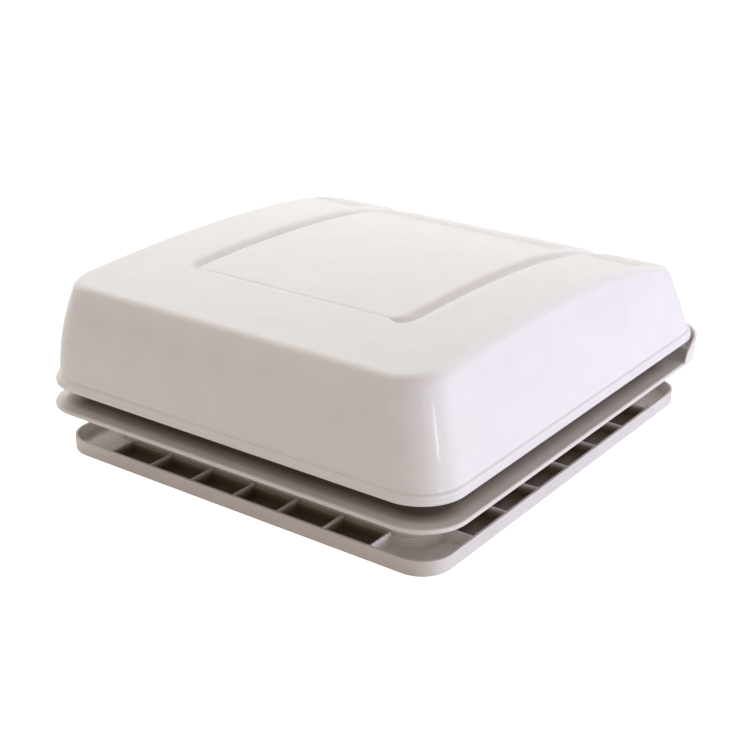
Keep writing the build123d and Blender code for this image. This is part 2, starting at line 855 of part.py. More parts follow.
def arm_shaft():
    low = drive_x - wheel_room_half - shaft_bush_long
    shaft = rod_x(0, 0, shaft_r, -10.6, -low)
    shaft = chamfer(shaft.edges().group_by(Axis.X)[0], 0.5)
    shaft = shaft - block(-9.2, -1.4, -6, 6, shaft_r - flat_cut, 6)
    shaft = shaft - block(-drive_x - 4, -drive_x + 4, -6, 6, shaft_r - flat_cut, 6)
    ring = rod_x(0, 0, 6, -10.1, -9.2) - rod_x(0, 0, 3.2, -10.1, -9.2)
    return arm_frame() * (shaft - ring)


def shaft_clip():
    return spring_clip(arm_y, arm_z, 3.2, 9.25, 10.05)


def wheel_tooth():
    """One tooth pointing along +Y from the wheel's middle."""
    return Polyline(
        (0, wheel_root_r - 1.2, -1.88),
        (0, wheel_root_r, -1.88),
        (0, wheel_pitch_r, -1.28),
        (0, wheel_out_r, -0.8),
        (0, wheel_out_r, 0.8),
        (0, wheel_pitch_r, 1.28),
        (0, wheel_root_r, 1.88),
        (0, wheel_root_r - 1.2, 1.88),
        close=True,
    )


def worm_wheel():
    """A straight toothed wheel with a gap of its teeth towards the worm."""
    low = drive_x - wheel_wall / 2
    wheel = rod_x(0, 0, wheel_root_r, low, low + wheel_wall)
    tooth = Pos(low, 0, 0) * extrude(make_face(wheel_tooth()), wheel_wall, dir=(1, 0, 0))
    step = 360 / wheel_teeth
    for k in range(wheel_teeth):
        wheel = wheel + Rot((k + 0.5) * step, 0, 0) * tooth
    hub = wheel_room_half - bush_flange - seat_gap
    wheel = wheel + rod_x(0, 0, 8, drive_x - hub, drive_x + hub)
    bore = rod_x(0, 0, shaft_r + press_fit, drive_x - 6, drive_x + 6)
    flat = block(drive_x - 6, drive_x + 6, -6, 6, shaft_r - flat_cut + press_fit, 6)
    key = Rot(-arm_angle, 0, 0) * Rot(0, 0, 180) * mirror(bore - flat, Plane.YZ)
    return Pos(0, arm_y, arm_z) * (wheel - key)


def shoe_pin():
    """A riveted pin, fixed in the arm's eye, that the shoe turns on."""
    half = tongue_wide / 2
    shank = rod_x(tip_y, tip_z, shoe_pin_r, -half - 0.3, arm_x_low + arm_wall + 0.1)
    head = rod_x(tip_y, tip_z, 4.2, arm_x_low + arm_wall + 0.1, arm_x_low + arm_wall + 1.9)
    head = fillet(head.edges().group_by(Axis.X)[-1], 0.9)
    foot = rod_x(tip_y, tip_z, 3.8, -half - 1.7, -half - 0.2)
    foot = fillet(foot.edges().group_by(Axis.X)[0], 0.7)
    return shank + head + foot


# Gear case


def case_body():
    """The outline of both case halves, as a solid as wide as the whole case."""
    low = drive_x - case_half
    high = drive_x + case_half
    body = rod_x(arm_y, arm_z, case_r, low, high)
    body = body + block(low, high, case_end, arm_y, case_low + 5, case_top - 3)
    body = body + block(low, high, case_end, worm_y + 12, case_low, case_top)
    for y, z in case_ears:
        body = body + rod_x(y, z, case_ear_r, low, high)
    return body


def case_rooms():
    rooms = rod_x(arm_y, arm_z, wheel_room_r, drive_x - wheel_room_half, drive_x + wheel_room_half)
    rooms = rooms + rod_z(drive_x, worm_y, worm_room_r, worm_low - 0.1, worm_high + 0.1)
    bush_r = worm_bush_r + running_fit
    bush_low = worm_low - 0.1 - worm_bush_long
    bush_high = worm_high + 0.1 + worm_bush_long
    rooms = rooms + rod_z(drive_x, worm_y, bush_r, bush_low - 0.1, bush_high + 0.1)
    rooms = rooms + rod_z(drive_x, worm_y, journal_r + 0.6, case_low - 1, bush_low)
    bush_x = shaft_bush_r + running_fit
    left = drive_x - wheel_room_half - shaft_bush_long - 0.1
    rooms = rooms + rod_x(arm_y, arm_z, bush_x, left, drive_x + case_half + 1)
    return rooms


def gear_case():
    low = drive_x - case_half
    half = block(low - 1, drive_x - case_split, 80, 170, -40, 50)
    case = (case_body() & half) - case_rooms()
    for y, z in case_ears:
        case = case - rod_x(y, z, case_screw_r + screw_fit, low, drive_x)
    return case


def gear_case_cover():
    high = drive_x + case_half
    half = block(drive_x + case_split, high + 1, 80, 170, -40, 50)
    cover = (case_body() & half) - case_rooms()
    for y, z in case_ears:
        cover = cover - rod_x(y, z, case_screw_r + screw_fit / 2, drive_x, high - 1.5)
    return cover


def case_screws():
    one = Rot(0, 90, 0) * screw(3.0, 2.2, case_screw_r, 26.0)
    seat = drive_x - case_half - seat_gap - plate_wall - 0.05
    return [Pos(seat, y, z) * one for y, z in case_ears]


def shaft_bush(direction):
    """A flanged bush whose flange faces the wheel, on the given side of it."""
    face = wheel_room_half - bush_flange
    body = rod_x(arm_y, arm_z, shaft_bush_r, wheel_room_half, wheel_room_half + shaft_bush_long)
    bush = body + rod_x(arm_y, arm_z, bush_flange_r, face, wheel_room_half - 0.05)
    bush = bush + rod_x(arm_y, arm_z, shaft_bush_r, face, wheel_room_half + 0.1)
    end = wheel_room_half + shaft_bush_long
    bush = bush - rod_x(arm_y, arm_z, shaft_r + running_fit, face - 1, end + 1)
    if direction < 0:
        bush = mirror(bush, Plane.YZ)
    return Pos(drive_x, 0, 0) * bush


def shaft_bushes():
    return [shaft_bush(-1), shaft_bush(1)]


def worm_bushes():
    low = worm_low - 0.1
    high = worm_high + 0.1
    bushes = []
    for z_low in (low - worm_bush_long, high):
        z_high = z_low + worm_bush_long
        bush = rod_z(drive_x, worm_y, worm_bush_r, z_low, z_high)
        bushes.append(bush - rod_z(drive_x, worm_y, journal_r + running_fit, z_low, z_high))
    return bushes


def operator_bracket():
    """A pressed angle plate, the case on its long leg and the neck's pad on its short one."""
    case_side = drive_x - case_half - seat_gap
    back = neck_in - pad_deep - seat_gap
    long_leg = side_profile(
        [(91, -3), (91, 11), (112, 26), (152, 28), (back, 28), (back, -20), (152, -19), (112, -16)],
        case_side - plate_wall,
        case_side,
    )
    short_leg = block(pad_left, case_side, back - plate_wall, back, -20, 28)
    bracket = long_leg + short_leg
    for y, z in case_ears:
        bracket = bracket - rod_x(y, z, case_screw_r + screw_fit, case_side - plate_wall, case_side)
    for x in bracket_screw_xs:
        for z in bracket_screw_zs:
            hole_r = bracket_screw_r + screw_fit
            bracket = bracket - rod_y(x, z, hole_r, back - plate_wall, back)
    window = Pos(case_side - plate_wall / 2, 170, 4) * Rot(0, 90, 0) * Cylinder(8, 2 * plate_wall)
    return bracket - window


def bracket_screws():
    one = Rot(-90, 0, 0) * screw(3.0, 2.2, bracket_screw_r, 9.0)
    seat = neck_in - pad_deep - seat_gap - plate_wall - 0.05
    places = []
    for x in bracket_screw_xs:
        for z in bracket_screw_zs:
            places.append(Pos(x, seat, z) * one)
    return places


# Worm and crank


def worm_shaft():
    """Journals, the worm with its right hand thread, and a square end for the crank."""
    shaft = rod_z(0, 0, worm_root_r, worm_low, worm_high)
    shaft = shaft + rod_z(0, 0, journal_r, worm_high, worm_high + worm_bush_long - 0.3)
    shaft = shaft + rod_z(0, 0, journal_r, hub_high + 0.2, worm_low)
    half = square_half
    shaft = shaft + block(-half, half, -half, half, hub_low + 2, hub_high + 1)
    height = worm_turns * thread_pitch
    start = arm_z - thread_pitch / 4 - height / 2
    foot_r = worm_root_r - 0.3
    path = Helix(pitch=thread_pitch, height=height, radius=foot_r, center=(0, 0, start))
    half_tooth = [(foot_r, 1.32), (worm_pitch_r, 0.70), (worm_out_r, 0.26)]
    lower = [(r, 0, start - half) for r, half in half_tooth]
    upper = [(r, 0, start + half) for r, half in reversed(half_tooth)]
    profile = Polyline(*lower, *upper, close=True)
    thread = sweep(make_face(profile), path=path, is_frenet=True)
    shaft = shaft + thread
    shaft = shaft - rod_z(0, 0, crank_screw_r + screw_fit / 2, hub_low, hub_low + 11)
    return Pos(drive_x, worm_y, 0) * shaft


def crank_arm():
    """Hub, flat bar and a fork that holds the folding spindle."""
    bar_low = hub_high - bar_wall
    arm = rod_z(drive_x, worm_y, hub_r, hub_low, hub_high)
    arm = arm + block(drive_x, fold_x + 4, worm_y - bar_half, worm_y + bar_half, bar_low, hub_high)
    fork = block(fold_x - 4, fold_x + 4, worm_y - bar_half, worm_y + bar_half, fold_z, bar_low + 1)
    fork = fork + rod_y(fold_x, fold_z, 4, worm_y - bar_half, worm_y + bar_half)
    arm = arm + fork
    arm = fillet(arm.edges().filter_by(Axis.Z).group_by(Axis.X)[-1], 2)
    eye = fold_eye_r + 0.6
    arm = arm - block(fold_x - 5, fold_x + 5, worm_y - 2, worm_y + 2, fold_z - 6, fold_z + eye + 0.4)
    arm = arm - rod_y(fold_x, fold_z, fold_pin_r + press_fit, worm_y - 6, worm_y + 6)
    half = square_half + screw_fit / 2
    socket = block(-half, half, -half, half, hub_low + 1.9, hub_high)
    arm = arm - Pos(drive_x, worm_y, 0) * socket
    arm = arm - rod_z(drive_x, worm_y, crank_screw_r + screw_fit, hub_low, hub_high)
    return arm


def crank_screw():
    return Pos(drive_x, worm_y, hub_low) * screw(4.2, 2.4, crank_screw_r, 9.0)


def grip_spindle():
    """An eye on the fold pin and a rod that carries the grip, with a retaining head."""
    eye = rod_y(fold_x, fold_z, fold_eye_r, worm_y - 1.9, worm_y + 1.9)
    rod = rod_x(worm_y, fold_z, spindle_r, grip_start - 0.3, fold_x)
    collar = rod_x(worm_y, fold_z, 1.9, grip_end + 0.2, fold_x)
    head = rod_x(worm_y, fold_z, 3.6, grip_start - 2.6, grip_start - 0.2)
    head = fillet(head.edges().group_by(Axis.X)[0], 0.9)
    rod = rod & block(grip_start - 3, fold_x, worm_y - 1.9, worm_y + 1.9, fold_z - 3, fold_z + 3)
    rod = rod + rod_x(worm_y, fold_z, spindle_r, grip_start - 0.3, grip_end + 0.1)
    spindle = eye + collar + rod + head
    return spindle - rod_y(fold_x, fold_z, fold_pin_r + running_fit, worm_y - 3, worm_y + 3)


def grip_fold_pin():
    pin = rod_y(fold_x, fold_z, fold_pin_r, worm_y - bar_half + 0.2, worm_y + bar_half - 0.2)
    return chamfer(pin.edges().filter_by(GeomType.CIRCLE), 0.25)


def crank_grip():
    """A turned grip, waisted in the middle, that spins on the spindle."""
    long = grip_end - grip_start
    bore = spindle_r + running_fit
    outline = Polyline((0, bore), (0, grip_r - 1.2), (1.2, grip_r))
    waist = Spline(
        (1.2, grip_r),
        (long / 2, grip_r - 1.3),
        (long - 1.2, grip_r),
        tangents=[(1, -0.1), (1, 0.1)],
    )
    close = Polyline((long - 1.2, grip_r), (long, grip_r - 1.2), (long, bore), (0, bore))
    face = make_face(outline + waist + close)
    return Pos(grip_start, worm_y, fold_z) * revolve(face, Axis.X)


# Operator trim, fly screen and clips


def operator_trim():
    """A tray, open to the room, whose roof hides the operator above the crank."""
    high = trim_top
    low = ledge_low
    outer = slab(trim_half, trim_front, trim_half, 12, low, high)
    outer = fillet(outer.edges().group_by(Axis.Z)[-1], 3)
    flange_low = ledge_high + 0.2
    flange = slab(trim_flange_half, trim_front, trim_flange_half, 16, flange_low, flange_low + 2.4)
    flange = flange - block(-200, 200, trim_front, trim_front + 12, flange_low - 1, flange_low + 3)
    inner = slab(
        trim_half - trim_wall,
        trim_front + trim_wall,
        trim_half - trim_wall,
        12 - trim_wall,
        low,
        high - trim_wall,
    )
    trim = outer + flange + rod_z(drive_x, worm_y, trim_hole_r + 2.4, high - 1, high + 3.5)
    trim = trim - inner - rod_z(drive_x, worm_y, trim_hole_r, low, high + 4)
    for x, y in trim_places():
        trim = trim + rod_z(x, y, 2.7, flange_low, flange_low + 7)
        trim = trim - rod_z(x, y, trim_screw_r + screw_fit / 2, flange_low, flange_low + 6)
    return trim


def trim_places():
    return [(side * trim_screw_x, y) for side in (-1, 1) for y in trim_screw_ys]


def trim_screws():
    one = screw(2.8, 2.0, trim_screw_r, 8.0)
    return [Pos(x, y, ledge_low) * one for x, y in trim_places()]


def screen_slab(inset, corner, z_low, z_high):
    """A plate with the fly screen's outline, drawn in by an inset."""
    half = screen_half - inset
    return slab(half, -half, screen_rear - inset, corner, z_low, z_high)


def screen_ring(inset_out, inset_in, corner, z_low, z_high):
    outer = screen_slab(inset_out, corner, z_low, z_high)
    return outer - screen_slab(inset_in, max(corner - inset_in + inset_out, 1.0), z_low, z_high)


def fly_screen_frame():
    frame = screen_ring(0, screen_wide, 13, screen_low, screen_high)
    outer_edges = frame.edges().group_by(Axis.Z)[0]
    frame = fillet(outer_edges, 0.8)
    groove_in = screen_wide / 2
    channel = screen_ring(groove_in - 1.25, groove_in + 1.25, 7, screen_high - 2.6, screen_high)
    return frame - channel


def screen_spline():
    groove_in = screen_wide / 2
    low = screen_high - 2.5
    cord = screen_ring(groove_in - spline_r, groove_in + spline_r, 7, low, screen_high - 0.1)
    return fillet(cord.edges().group_by(Axis.Z)[-1], 0.9)


def fly_screen_mesh():
    inset = screen_wide / 2 + 1.35
    low = screen_high + 0.05
    return screen_slab(inset, 5.5, low, low + mesh_wall)


def screen_clip(side):
    """A turn clip that points inward under the screen's edge."""
    y = clip_y
    x = side * clip_x
    tip_x = side * (clip_x - clip_reach + 3)
    high = clip_low + clip_wall
    lever = block(min(x, tip_x), max(x, tip_x), y - 3, y + 3, clip_low, high)
    clip = lever + rod_z(x, y, 5.5, clip_low, high) + rod_z(tip_x, y, 3, clip_low, high)
    clip = clip - rod_z(x, y, clip_screw_r + running_fit, clip_low, high)
    return clip - rod_z(x, y, 2.9, clip_low, clip_low + 1.1)


def clip_screws():
    one = screw(2.7, 0.9, clip_screw_r, 7.5)
    return [Pos(side * clip_x, clip_y, clip_low + 1.05) * one for side in (-1, 1)]


def group(shapes):
    return Compound(children=shapes)


def build():
    os.makedirs("parts", exist_ok=True)
    save("outer_frame", outer_frame())
    save("frame_neck", frame_neck())
    save("frame_ribs", group(frame_ribs()))
    save("rear_cowl", rear_cowl())
    save("inner_frame", inner_frame())
    save("clamp_screws", group(clamp_screws()))
    save("upstand_seal", upstand_seal())
    save("hinge_pin_left", hinge_pin(-1))
    save("hinge_pin_right", hinge_pin(1))
    save("hinge_clips", group(hinge_clips()))
    save("operator_bracket", operator_bracket())
    save("bracket_screws", group(bracket_screws()))
    save("gear_case", gear_case())
    save("gear_case_cover", gear_case_cover())
    save("case_screws", group(case_screws()))
    save("shaft_bushes", group(shaft_bushes()))
    save("worm_bushes", group(worm_bushes()))
    save("operator_trim", operator_trim())
    save("trim_screws", group(trim_screws()))
    save("fly_screen_frame", fly_screen_frame())
    save("fly_screen_mesh", fly_screen_mesh())
    save("screen_spline", screen_spline())
    save("clip_screws", group(clip_screws()))
    save("lid_dome", lid_dome())
    save("lid_inner_pan", lid_inner_pan())
    save("hinge_bracket_left", hinge_bracket(-1))
    save("hinge_bracket_right", hinge_bracket(1))
    save("hinge_screws", group(hinge_screws()))
    save("lift_rail", lift_rail())
    save("rail_rivets", group(rail_rivets()))
    save("lift_arm", lift_arm())
    save("arm_shaft", arm_shaft())
    save("worm_wheel", worm_wheel())
    save("shoe_pin", shoe_pin())
    save("shaft_clip", shaft_clip())
    save("slider_shoe", slider_shoe())
    save("worm_shaft", worm_shaft())
    save("crank_arm", crank_arm())
    save("crank_screw", crank_screw())
    save("grip_spindle", grip_spindle())
    save("grip_fold_pin", grip_fold_pin())
    save("crank_grip", crank_grip())
    save("screen_clip_left", screen_clip(-1))
    save("screen_clip_right", screen_clip(1))


build()
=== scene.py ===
# %% [markdown]
# A roof hatch for a caravan, dressed for its photograph
#
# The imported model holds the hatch's exact solids, its bodies and its joints. This lesson gives each
# visible piece the surface and the finish of the real one. Outlines are in millimetres, and one
# helper turns them to metres when a mesh is made. Materials and lamps work in metres.

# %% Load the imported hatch
import json
import bmesh
import bpy
import numpy as np
from mathutils import Matrix, Vector


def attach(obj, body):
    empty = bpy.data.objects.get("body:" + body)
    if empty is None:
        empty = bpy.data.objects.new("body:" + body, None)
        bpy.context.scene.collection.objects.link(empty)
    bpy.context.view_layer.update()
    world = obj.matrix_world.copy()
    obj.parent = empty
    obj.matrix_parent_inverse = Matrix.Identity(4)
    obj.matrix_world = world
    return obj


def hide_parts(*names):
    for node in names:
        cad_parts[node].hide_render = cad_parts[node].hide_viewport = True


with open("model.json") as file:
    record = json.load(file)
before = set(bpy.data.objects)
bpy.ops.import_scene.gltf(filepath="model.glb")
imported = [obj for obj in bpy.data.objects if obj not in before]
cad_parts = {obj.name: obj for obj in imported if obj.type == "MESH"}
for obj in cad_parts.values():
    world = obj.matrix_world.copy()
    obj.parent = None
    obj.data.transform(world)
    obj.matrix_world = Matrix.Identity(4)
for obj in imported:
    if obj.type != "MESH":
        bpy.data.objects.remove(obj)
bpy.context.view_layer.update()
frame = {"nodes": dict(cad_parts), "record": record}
print("pieces in the packed model:", len(frame["nodes"]))

# %% [markdown]
# Colours are written as the hex values that a paint chart or a photograph shows, and Blender's
# shaders want them linear. One function does that, and one adds a shader node with its settings
# and its links. The size of a pattern is worked out from a length in millimetres, because a noise
# is scaled by how often it repeats in a metre.

# %% Helpers for colours and shader nodes
MM_PER_METRE = 1000.0


def linear(code, alpha=1.0):
    """Turns an sRGB hex colour into the linear one: a straight toe, then a power of 2.4."""
    parts = np.array([int(code[i:i + 2], 16) for i in (1, 3, 5)]) / 255
    low = parts / 12.92
    high = ((parts + 0.055) / 1.055) ** 2.4
    return (*np.where(parts <= 0.04045, low, high), alpha)


def add(tree, kind, settings=None, stops=(), **inputs):
    """Adds a node with its settings and its links.

    Settings are its own fields, and stops are a colour ramp's places and hex colours. Inputs are
    numbers, colours or sockets, by name, or by place as in0, in1 and so on.
    """
    made = tree.nodes.new("ShaderNode" + kind)
    for field, value in (settings or {}).items():
        setattr(made, field, value)
    for _ in stops[2:]:
        made.color_ramp.elements.new(0.5)
    for number, (place, code) in enumerate(stops):
        made.color_ramp.elements[number].position = place
        made.color_ramp.elements[number].color = linear(code)
    for name, value in inputs.items():
        socket = made.inputs[int(name[2:]) if name.startswith("in") else name.replace("_", " ")]
        if isinstance(value, bpy.types.NodeSocket):
            tree.links.new(value, socket)
        else:
            socket.default_value = value
    return made


def start_material(name, **shader_inputs):
    """A material with one principled shader, and the object's own coordinates in metres."""
    made = bpy.data.materials.new(name)
    made.use_nodes = True
    tree = made.node_tree
    tree.nodes.clear()
    out = add(tree, "OutputMaterial")
    shader = add(tree, "BsdfPrincipled", **shader_inputs)
    tree.links.new(shader.outputs["BSDF"], out.inputs["Surface"])
    place = add(tree, "TexCoord").outputs["Object"]
    return made, tree, shader, place


# %% [markdown]
# The lid is a sheet of impact resistant ABS with an acrylic cap layer, drawn over a mould. The
# cap layer gives a clear gloss, the drawing leaves a faint slow waviness, and road dust gives a
# hardly visible change of tone. The waviness could be in the mesh, but it is far too shallow to
# change the outline, so a bump of the same depth does it.

# %% Lid plastic
TONE_MM = 35.0
WAVE_MM = 90.0
WAVE_DEEP = 0.0006
lid_abs, tree, shader, place = start_material(
    "vacuum_formed_abs_gloss", IOR=1.49, Coat_Weight=0.35, Coat_Roughness=0.08
)
dust = add(tree, "TexNoise", Vector=place, Scale=MM_PER_METRE / TONE_MM, Detail=3.0, Roughness=0.55)
tone = dust.outputs["Fac"]
white = add(tree, "ValToRGB", stops=[(0.3, "#EDEBEA"), (0.7, "#F1EFEE")], Fac=tone)
tree.links.new(white.outputs["Color"], shader.inputs["Base Color"])
gloss = add(tree, "MapRange", Value=tone, From_Min=0.3, From_Max=0.7, To_Min=0.20, To_Max=0.27)
tree.links.new(gloss.outputs["Result"], shader.inputs["Roughness"])
wave = add(tree, "TexNoise", Vector=place, Scale=MM_PER_METRE / WAVE_MM, Detail=1.0).outputs["Fac"]
bump = add(tree, "Bump", Height=wave, Strength=0.25, Distance=WAVE_DEEP)
tree.links.new(bump.outputs["Normal"], shader.inputs["Normal"])
print(lid_abs.name, "has", len(tree.nodes), "nodes")

# %% [markdown]
# The frames are injection moulded in a filled plastic, a warm off-white. The mould's spark eroded
# face leaves a fine grain of about a third of a millimetre, drawn here at 1.2 mm so that it shows,
# and the filler gives faint flow clouds some 60 mm wide. The same two noises serve the other
# plastics and the rubber, which differ in colour and in how they scatter light.

# %% Plastics and rubber
CLOUD_MM = 60.0
GRAIN_MM = 1.2
GRAIN_DEEP = 0.00006


def moulded_plastic(name, light, dark, rough):
    """Colour and roughness follow slow clouds, and a fine grain gives the bump."""
    made, tree, shader, place = start_material(name, IOR=1.5)
    cloud = add(tree, "TexNoise", Vector=place, Scale=MM_PER_METRE / CLOUD_MM, Detail=4.0).outputs["Fac"]
    grain = add(tree, "TexNoise", Vector=place, Scale=MM_PER_METRE / GRAIN_MM, Detail=2.0).outputs["Fac"]
    colour = add(tree, "ValToRGB", stops=[(0.3, dark), (0.7, light)], Fac=cloud)
    tree.links.new(colour.outputs["Color"], shader.inputs["Base Color"])
    rub = add(
        tree, "MapRange", Value=cloud,
        From_Min=0.3, From_Max=0.7, To_Min=rough - 0.05, To_Max=rough + 0.05,
    )
    tree.links.new(rub.outputs["Result"], shader.inputs["Roughness"])
    bump = add(tree, "Bump", Height=grain, Strength=0.5, Distance=GRAIN_DEEP)
    tree.links.new(bump.outputs["Normal"], shader.inputs["Normal"])
    return made


# Satin and slightly warm, from a fine grain in the mould.
frame_plastic = moulded_plastic("moulded_asa_warm_white", "#EEEAE5", "#E8E4DE", 0.36)
# A little smoother and whiter, for the lid's inner skin.
pan_plastic = moulded_plastic("moulded_abs_satin_white", "#E9E7E4", "#E4E2DF", 0.34)
# Creamy and duller, so that the tray and the screen's frame don't mirror the room below.
trim_plastic = moulded_plastic("moulded_abs_cream", "#D6D0C6", "#D0CABF", 0.45)
# Glass fibre near the surface makes the grey crank and clips matt.
crank_plastic = moulded_plastic("moulded_glass_filled_nylon_grey", "#8B8A88", "#817F7D", 0.5)
# Undyed nylon is ivory with a waxy shine.
nylon = moulded_plastic("machined_natural_nylon", "#EAE6DA", "#E2DDCF", 0.4)
# Rubber comes from its die nearly black, with hardly any shine.
seal_rubber = moulded_plastic("extruded_epdm_rubber", "#2B2B2C", "#232324", 0.72)
# The threads have a dull charcoal coat of vinyl.
net_glass_fibre = moulded_plastic("coated_glass_fibre_net", "#3A3B3C", "#303132", 0.6)
print("materials so far:", len(bpy.data.materials))

# %% [markdown]
# Shade is painted into the frames' colour where the lid and the ribs would shade them: in the low
# channel of the outer frame's sweep, under the lid's lip, and down in the ribbed cells of the inner
# frame, but not in its open corners. It could be painted in a picture, but the shape says where it lies.
# How far a place is past an inner rectangle tells where on a rounded frame it is, and its height tells
# the rest. Ramps turn both into browns of painted shade, and a product tints the plastic.

# %% Painted shade on the frames
SWEEP_INNER = (0.195, 0.195, 1.0)
SWEEP_REACH = 0.05
RING_CENTRE = (0.0, 0.018, 0.0)
RING_INNER = (0.199, 0.217, 1.0)
CELLS_CENTRE = (0.0, 0.0136, 0.0)
CELLS_INNER = (0.1626, 0.1737, 0.0)
# Painted shade: dark browns for the shadow under the lid's lip, in the sweep's channel.
CHANNEL_SHADE = [
    (0.2, "#FFFFFF"), (0.34, "#6E645C"), (0.58, "#6E645C"), (0.74, "#C4BBB3"), (0.88, "#FFFFFF"),
]
# Painted shade: browns that darken the deep cells, where shade falls.
CELL_SHADE = [(0.0, "#FFFFFF"), (0.5, "#A79A88"), (1.0, "#7A6B58")]
tree = frame_plastic.node_tree
shader = next(node for node in tree.nodes if node.type == "BSDF_PRINCIPLED")
clean = shader.inputs["Base Color"].links[0].from_socket
spot = add(tree, "TexCoord").outputs["Object"]
height = add(tree, "SeparateXYZ", Vector=spot).outputs["Z"]


def beyond(middle, inner):
    """How far a place lies past an inner rectangle along each axis, below zero inside it."""
    moved = add(tree, "VectorMath", {"operation": "SUBTRACT"}, in0=spot, in1=middle).outputs[0]
    folded = add(tree, "VectorMath", {"operation": "ABSOLUTE"}, in0=moved).outputs[0]
    return add(tree, "VectorMath", {"operation": "SUBTRACT"}, in0=folded, in1=inner).outputs[0]


def distance(middle, inner):
    """The length of what is past the rectangle, so that places of one distance make a rounded line."""
    past = add(tree, "VectorMath", {"operation": "MAXIMUM"}, in0=beyond(middle, inner), in1=(0, 0, 0))
    return add(tree, "VectorMath", {"operation": "LENGTH"}, in0=past.outputs[0]).outputs["Value"]


# The channel's ramp is white at both ends, so the underside can count as its far end.
from_neck = distance((0, 0, 0), SWEEP_INNER)
channel = add(tree, "MapRange", Value=from_neck, From_Min=0.0, From_Max=SWEEP_REACH).outputs[0]
below = add(tree, "MapRange", Value=height, From_Min=0.0042, From_Max=0.0036).outputs[0]
channel = add(tree, "Math", {"operation": "MAXIMUM"}, in0=channel, in1=below).outputs[0]

# Each row is a mask: what it goes by, where it is none and where it is full. They keep the
# painted shade within the ring's rim, out of the corners, down in the cells and off the ring's
# underside.
apart = add(tree, "SeparateXYZ", Vector=beyond(CELLS_CENTRE, CELLS_INNER)).outputs
in_corner = add(tree, "Math", {"operation": "MINIMUM"}, in0=apart["X"], in1=apart["Y"]).outputs[0]
cells = 1.0
for value, none, full in [
    (distance(RING_CENTRE, RING_INNER), 0.0305, 0.0295),
    (in_corner, 0.0005, -0.0005),
    (height, -0.0368, -0.045),
    (height, -0.0506, -0.0496),
]:
    mask = add(tree, "MapRange", Value=value, From_Min=none, From_Max=full).outputs[0]
    cells = add(tree, "Math", {"operation": "MULTIPLY"}, in0=cells, in1=mask).outputs[0]

# Painted shade: the two ramps darken the plastic where the lid and the ribs would shade it.
tint = clean
for place, stops in [(channel, CHANNEL_SHADE), (cells, CELL_SHADE)]:
    painted_shade_colour = add(tree, "ValToRGB", stops=stops, Fac=place).outputs["Color"]
    tint = add(tree, "VectorMath", {"operation": "MULTIPLY"}, in0=tint, in1=painted_shade_colour).outputs[0]
tree.links.new(tint, shader.inputs["Base Color"])
print("frame plastic has", len(tree.nodes), "nodes")

# %% [markdown]
# Metal parts differ mostly in how they were made. Zinc plated sheet has slow bright clouds, turned
# pins have fine rings, and die castings have a soft grain. A noise stretched along the axes gives
# each its lay. The real rings are hundredths of a millimetre apart, and half a millimetre is the
# finest that would show.

# %% Metals
LAY_DEEP = 0.00003


def worked_metal(name, light, dark, rough, lay_mm):
    """A metal whose noise is as long as lay_mm along each axis."""
    made, tree, shader, place = start_material(name, Metallic=1.0)
    stretched = add(tree, "Mapping", Vector=place, Scale=tuple(MM_PER_METRE / long for long in lay_mm))
    lay = add(tree, "TexNoise", Vector=stretched.outputs["Vector"], Scale=1.0, Detail=4.0).outputs["Fac"]
    colour = add(tree, "ValToRGB", stops=[(0.3, dark), (0.7, light)], Fac=lay)
    tree.links.new(colour.outputs["Color"], shader.inputs["Base Color"])
    rub = add(
        tree, "MapRange", Value=lay,
        From_Min=0.3, From_Max=0.7, To_Min=rough - 0.06, To_Max=rough + 0.08,
    )
    tree.links.new(rub.outputs["Result"], shader.inputs["Roughness"])
    bump = add(tree, "Bump", Height=lay, Strength=0.4, Distance=LAY_DEEP)
    tree.links.new(bump.outputs["Normal"], shader.inputs["Normal"])
    return made


# Electroplated zinc on small heads: bright with small clouds.
zinc_screws = worked_metal("zinc_plated_screw_steel", "#C9CACB", "#AEB0B3", 0.32, (2, 2, 2))
# Turned pins, most of them along X: fine rings that shine.
stainless = worked_metal("turned_stainless_steel", "#D0D0D1", "#B9BABC", 0.22, (0.6, 8, 8))
# Plated sheet: wide soft clouds, a little longer along the rail.
zinc_sheet = worked_metal("zinc_plated_pressed_sheet", "#C4C6C8", "#ABAEB2", 0.36, (9, 14, 9))
# The upright worm's shaft: darker oiled steel, ringed along its height.
machined_steel = worked_metal("machined_oiled_steel", "#A7A8A9", "#8D8E90", 0.28, (8, 8, 0.6))
# A die casting: a dull fine grain, the same every way.
die_cast = worked_metal("die_cast_zinc_alloy", "#A9ABAE", "#95979B", 0.46, (1.5, 1.5, 1.5))
# Rivet heads pressed bright.
rivet_aluminium = worked_metal("bright_rivet_aluminium", "#D9DADC", "#C6C7CA", 0.3, (2, 2, 2))
# The wheel's hobbed brass: warm, with fine rings about its axle.
gear_brass = worked_metal("hobbed_brass", "#D8B36A", "#C29A4E", 0.27, (0.5, 6, 6))
print("materials so far:", len(bpy.data.materials))

# %% [markdown]
# The record says which finish each solid was given, as the name of a slot. The pieces that keep
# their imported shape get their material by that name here, and the new ones get it when they are
# made.

# %% Finishes by slot
finishes = {
    "lid_plastic": lid_abs,
    "pan_plastic": pan_plastic,
    "frame_plastic": frame_plastic,
    "trim_plastic": trim_plastic,
    "crank_plastic": crank_plastic,
    "nylon": nylon,
    "seal_rubber": seal_rubber,
    "mesh": net_glass_fibre,
    "zinc_steel": zinc_screws,
    "stainless": stainless,
    "zinc_sheet": zinc_sheet,
    "machined_steel": machined_steel,
    "die_cast": die_cast,
    "rivet_aluminium": rivet_aluminium,
    "gear_brass": gear_brass,
}
slot_of = {part["node"]: part["material_slot"] for part in frame["record"]["subparts"]}
for name, thing in frame["nodes"].items():
    for slot in thing.material_slots:
        slot.material = finishes[slot_of[name]]
print("finishes:", len(finishes))

# %% [markdown]
# Every new piece is a surface worked out as whole arrays. Small helpers turn a grid of points into
# quads and put the arrays into a mesh, in metres. Shading is smooth except over sharp angles. Each
# piece rides on the body of the solid whose place it takes.

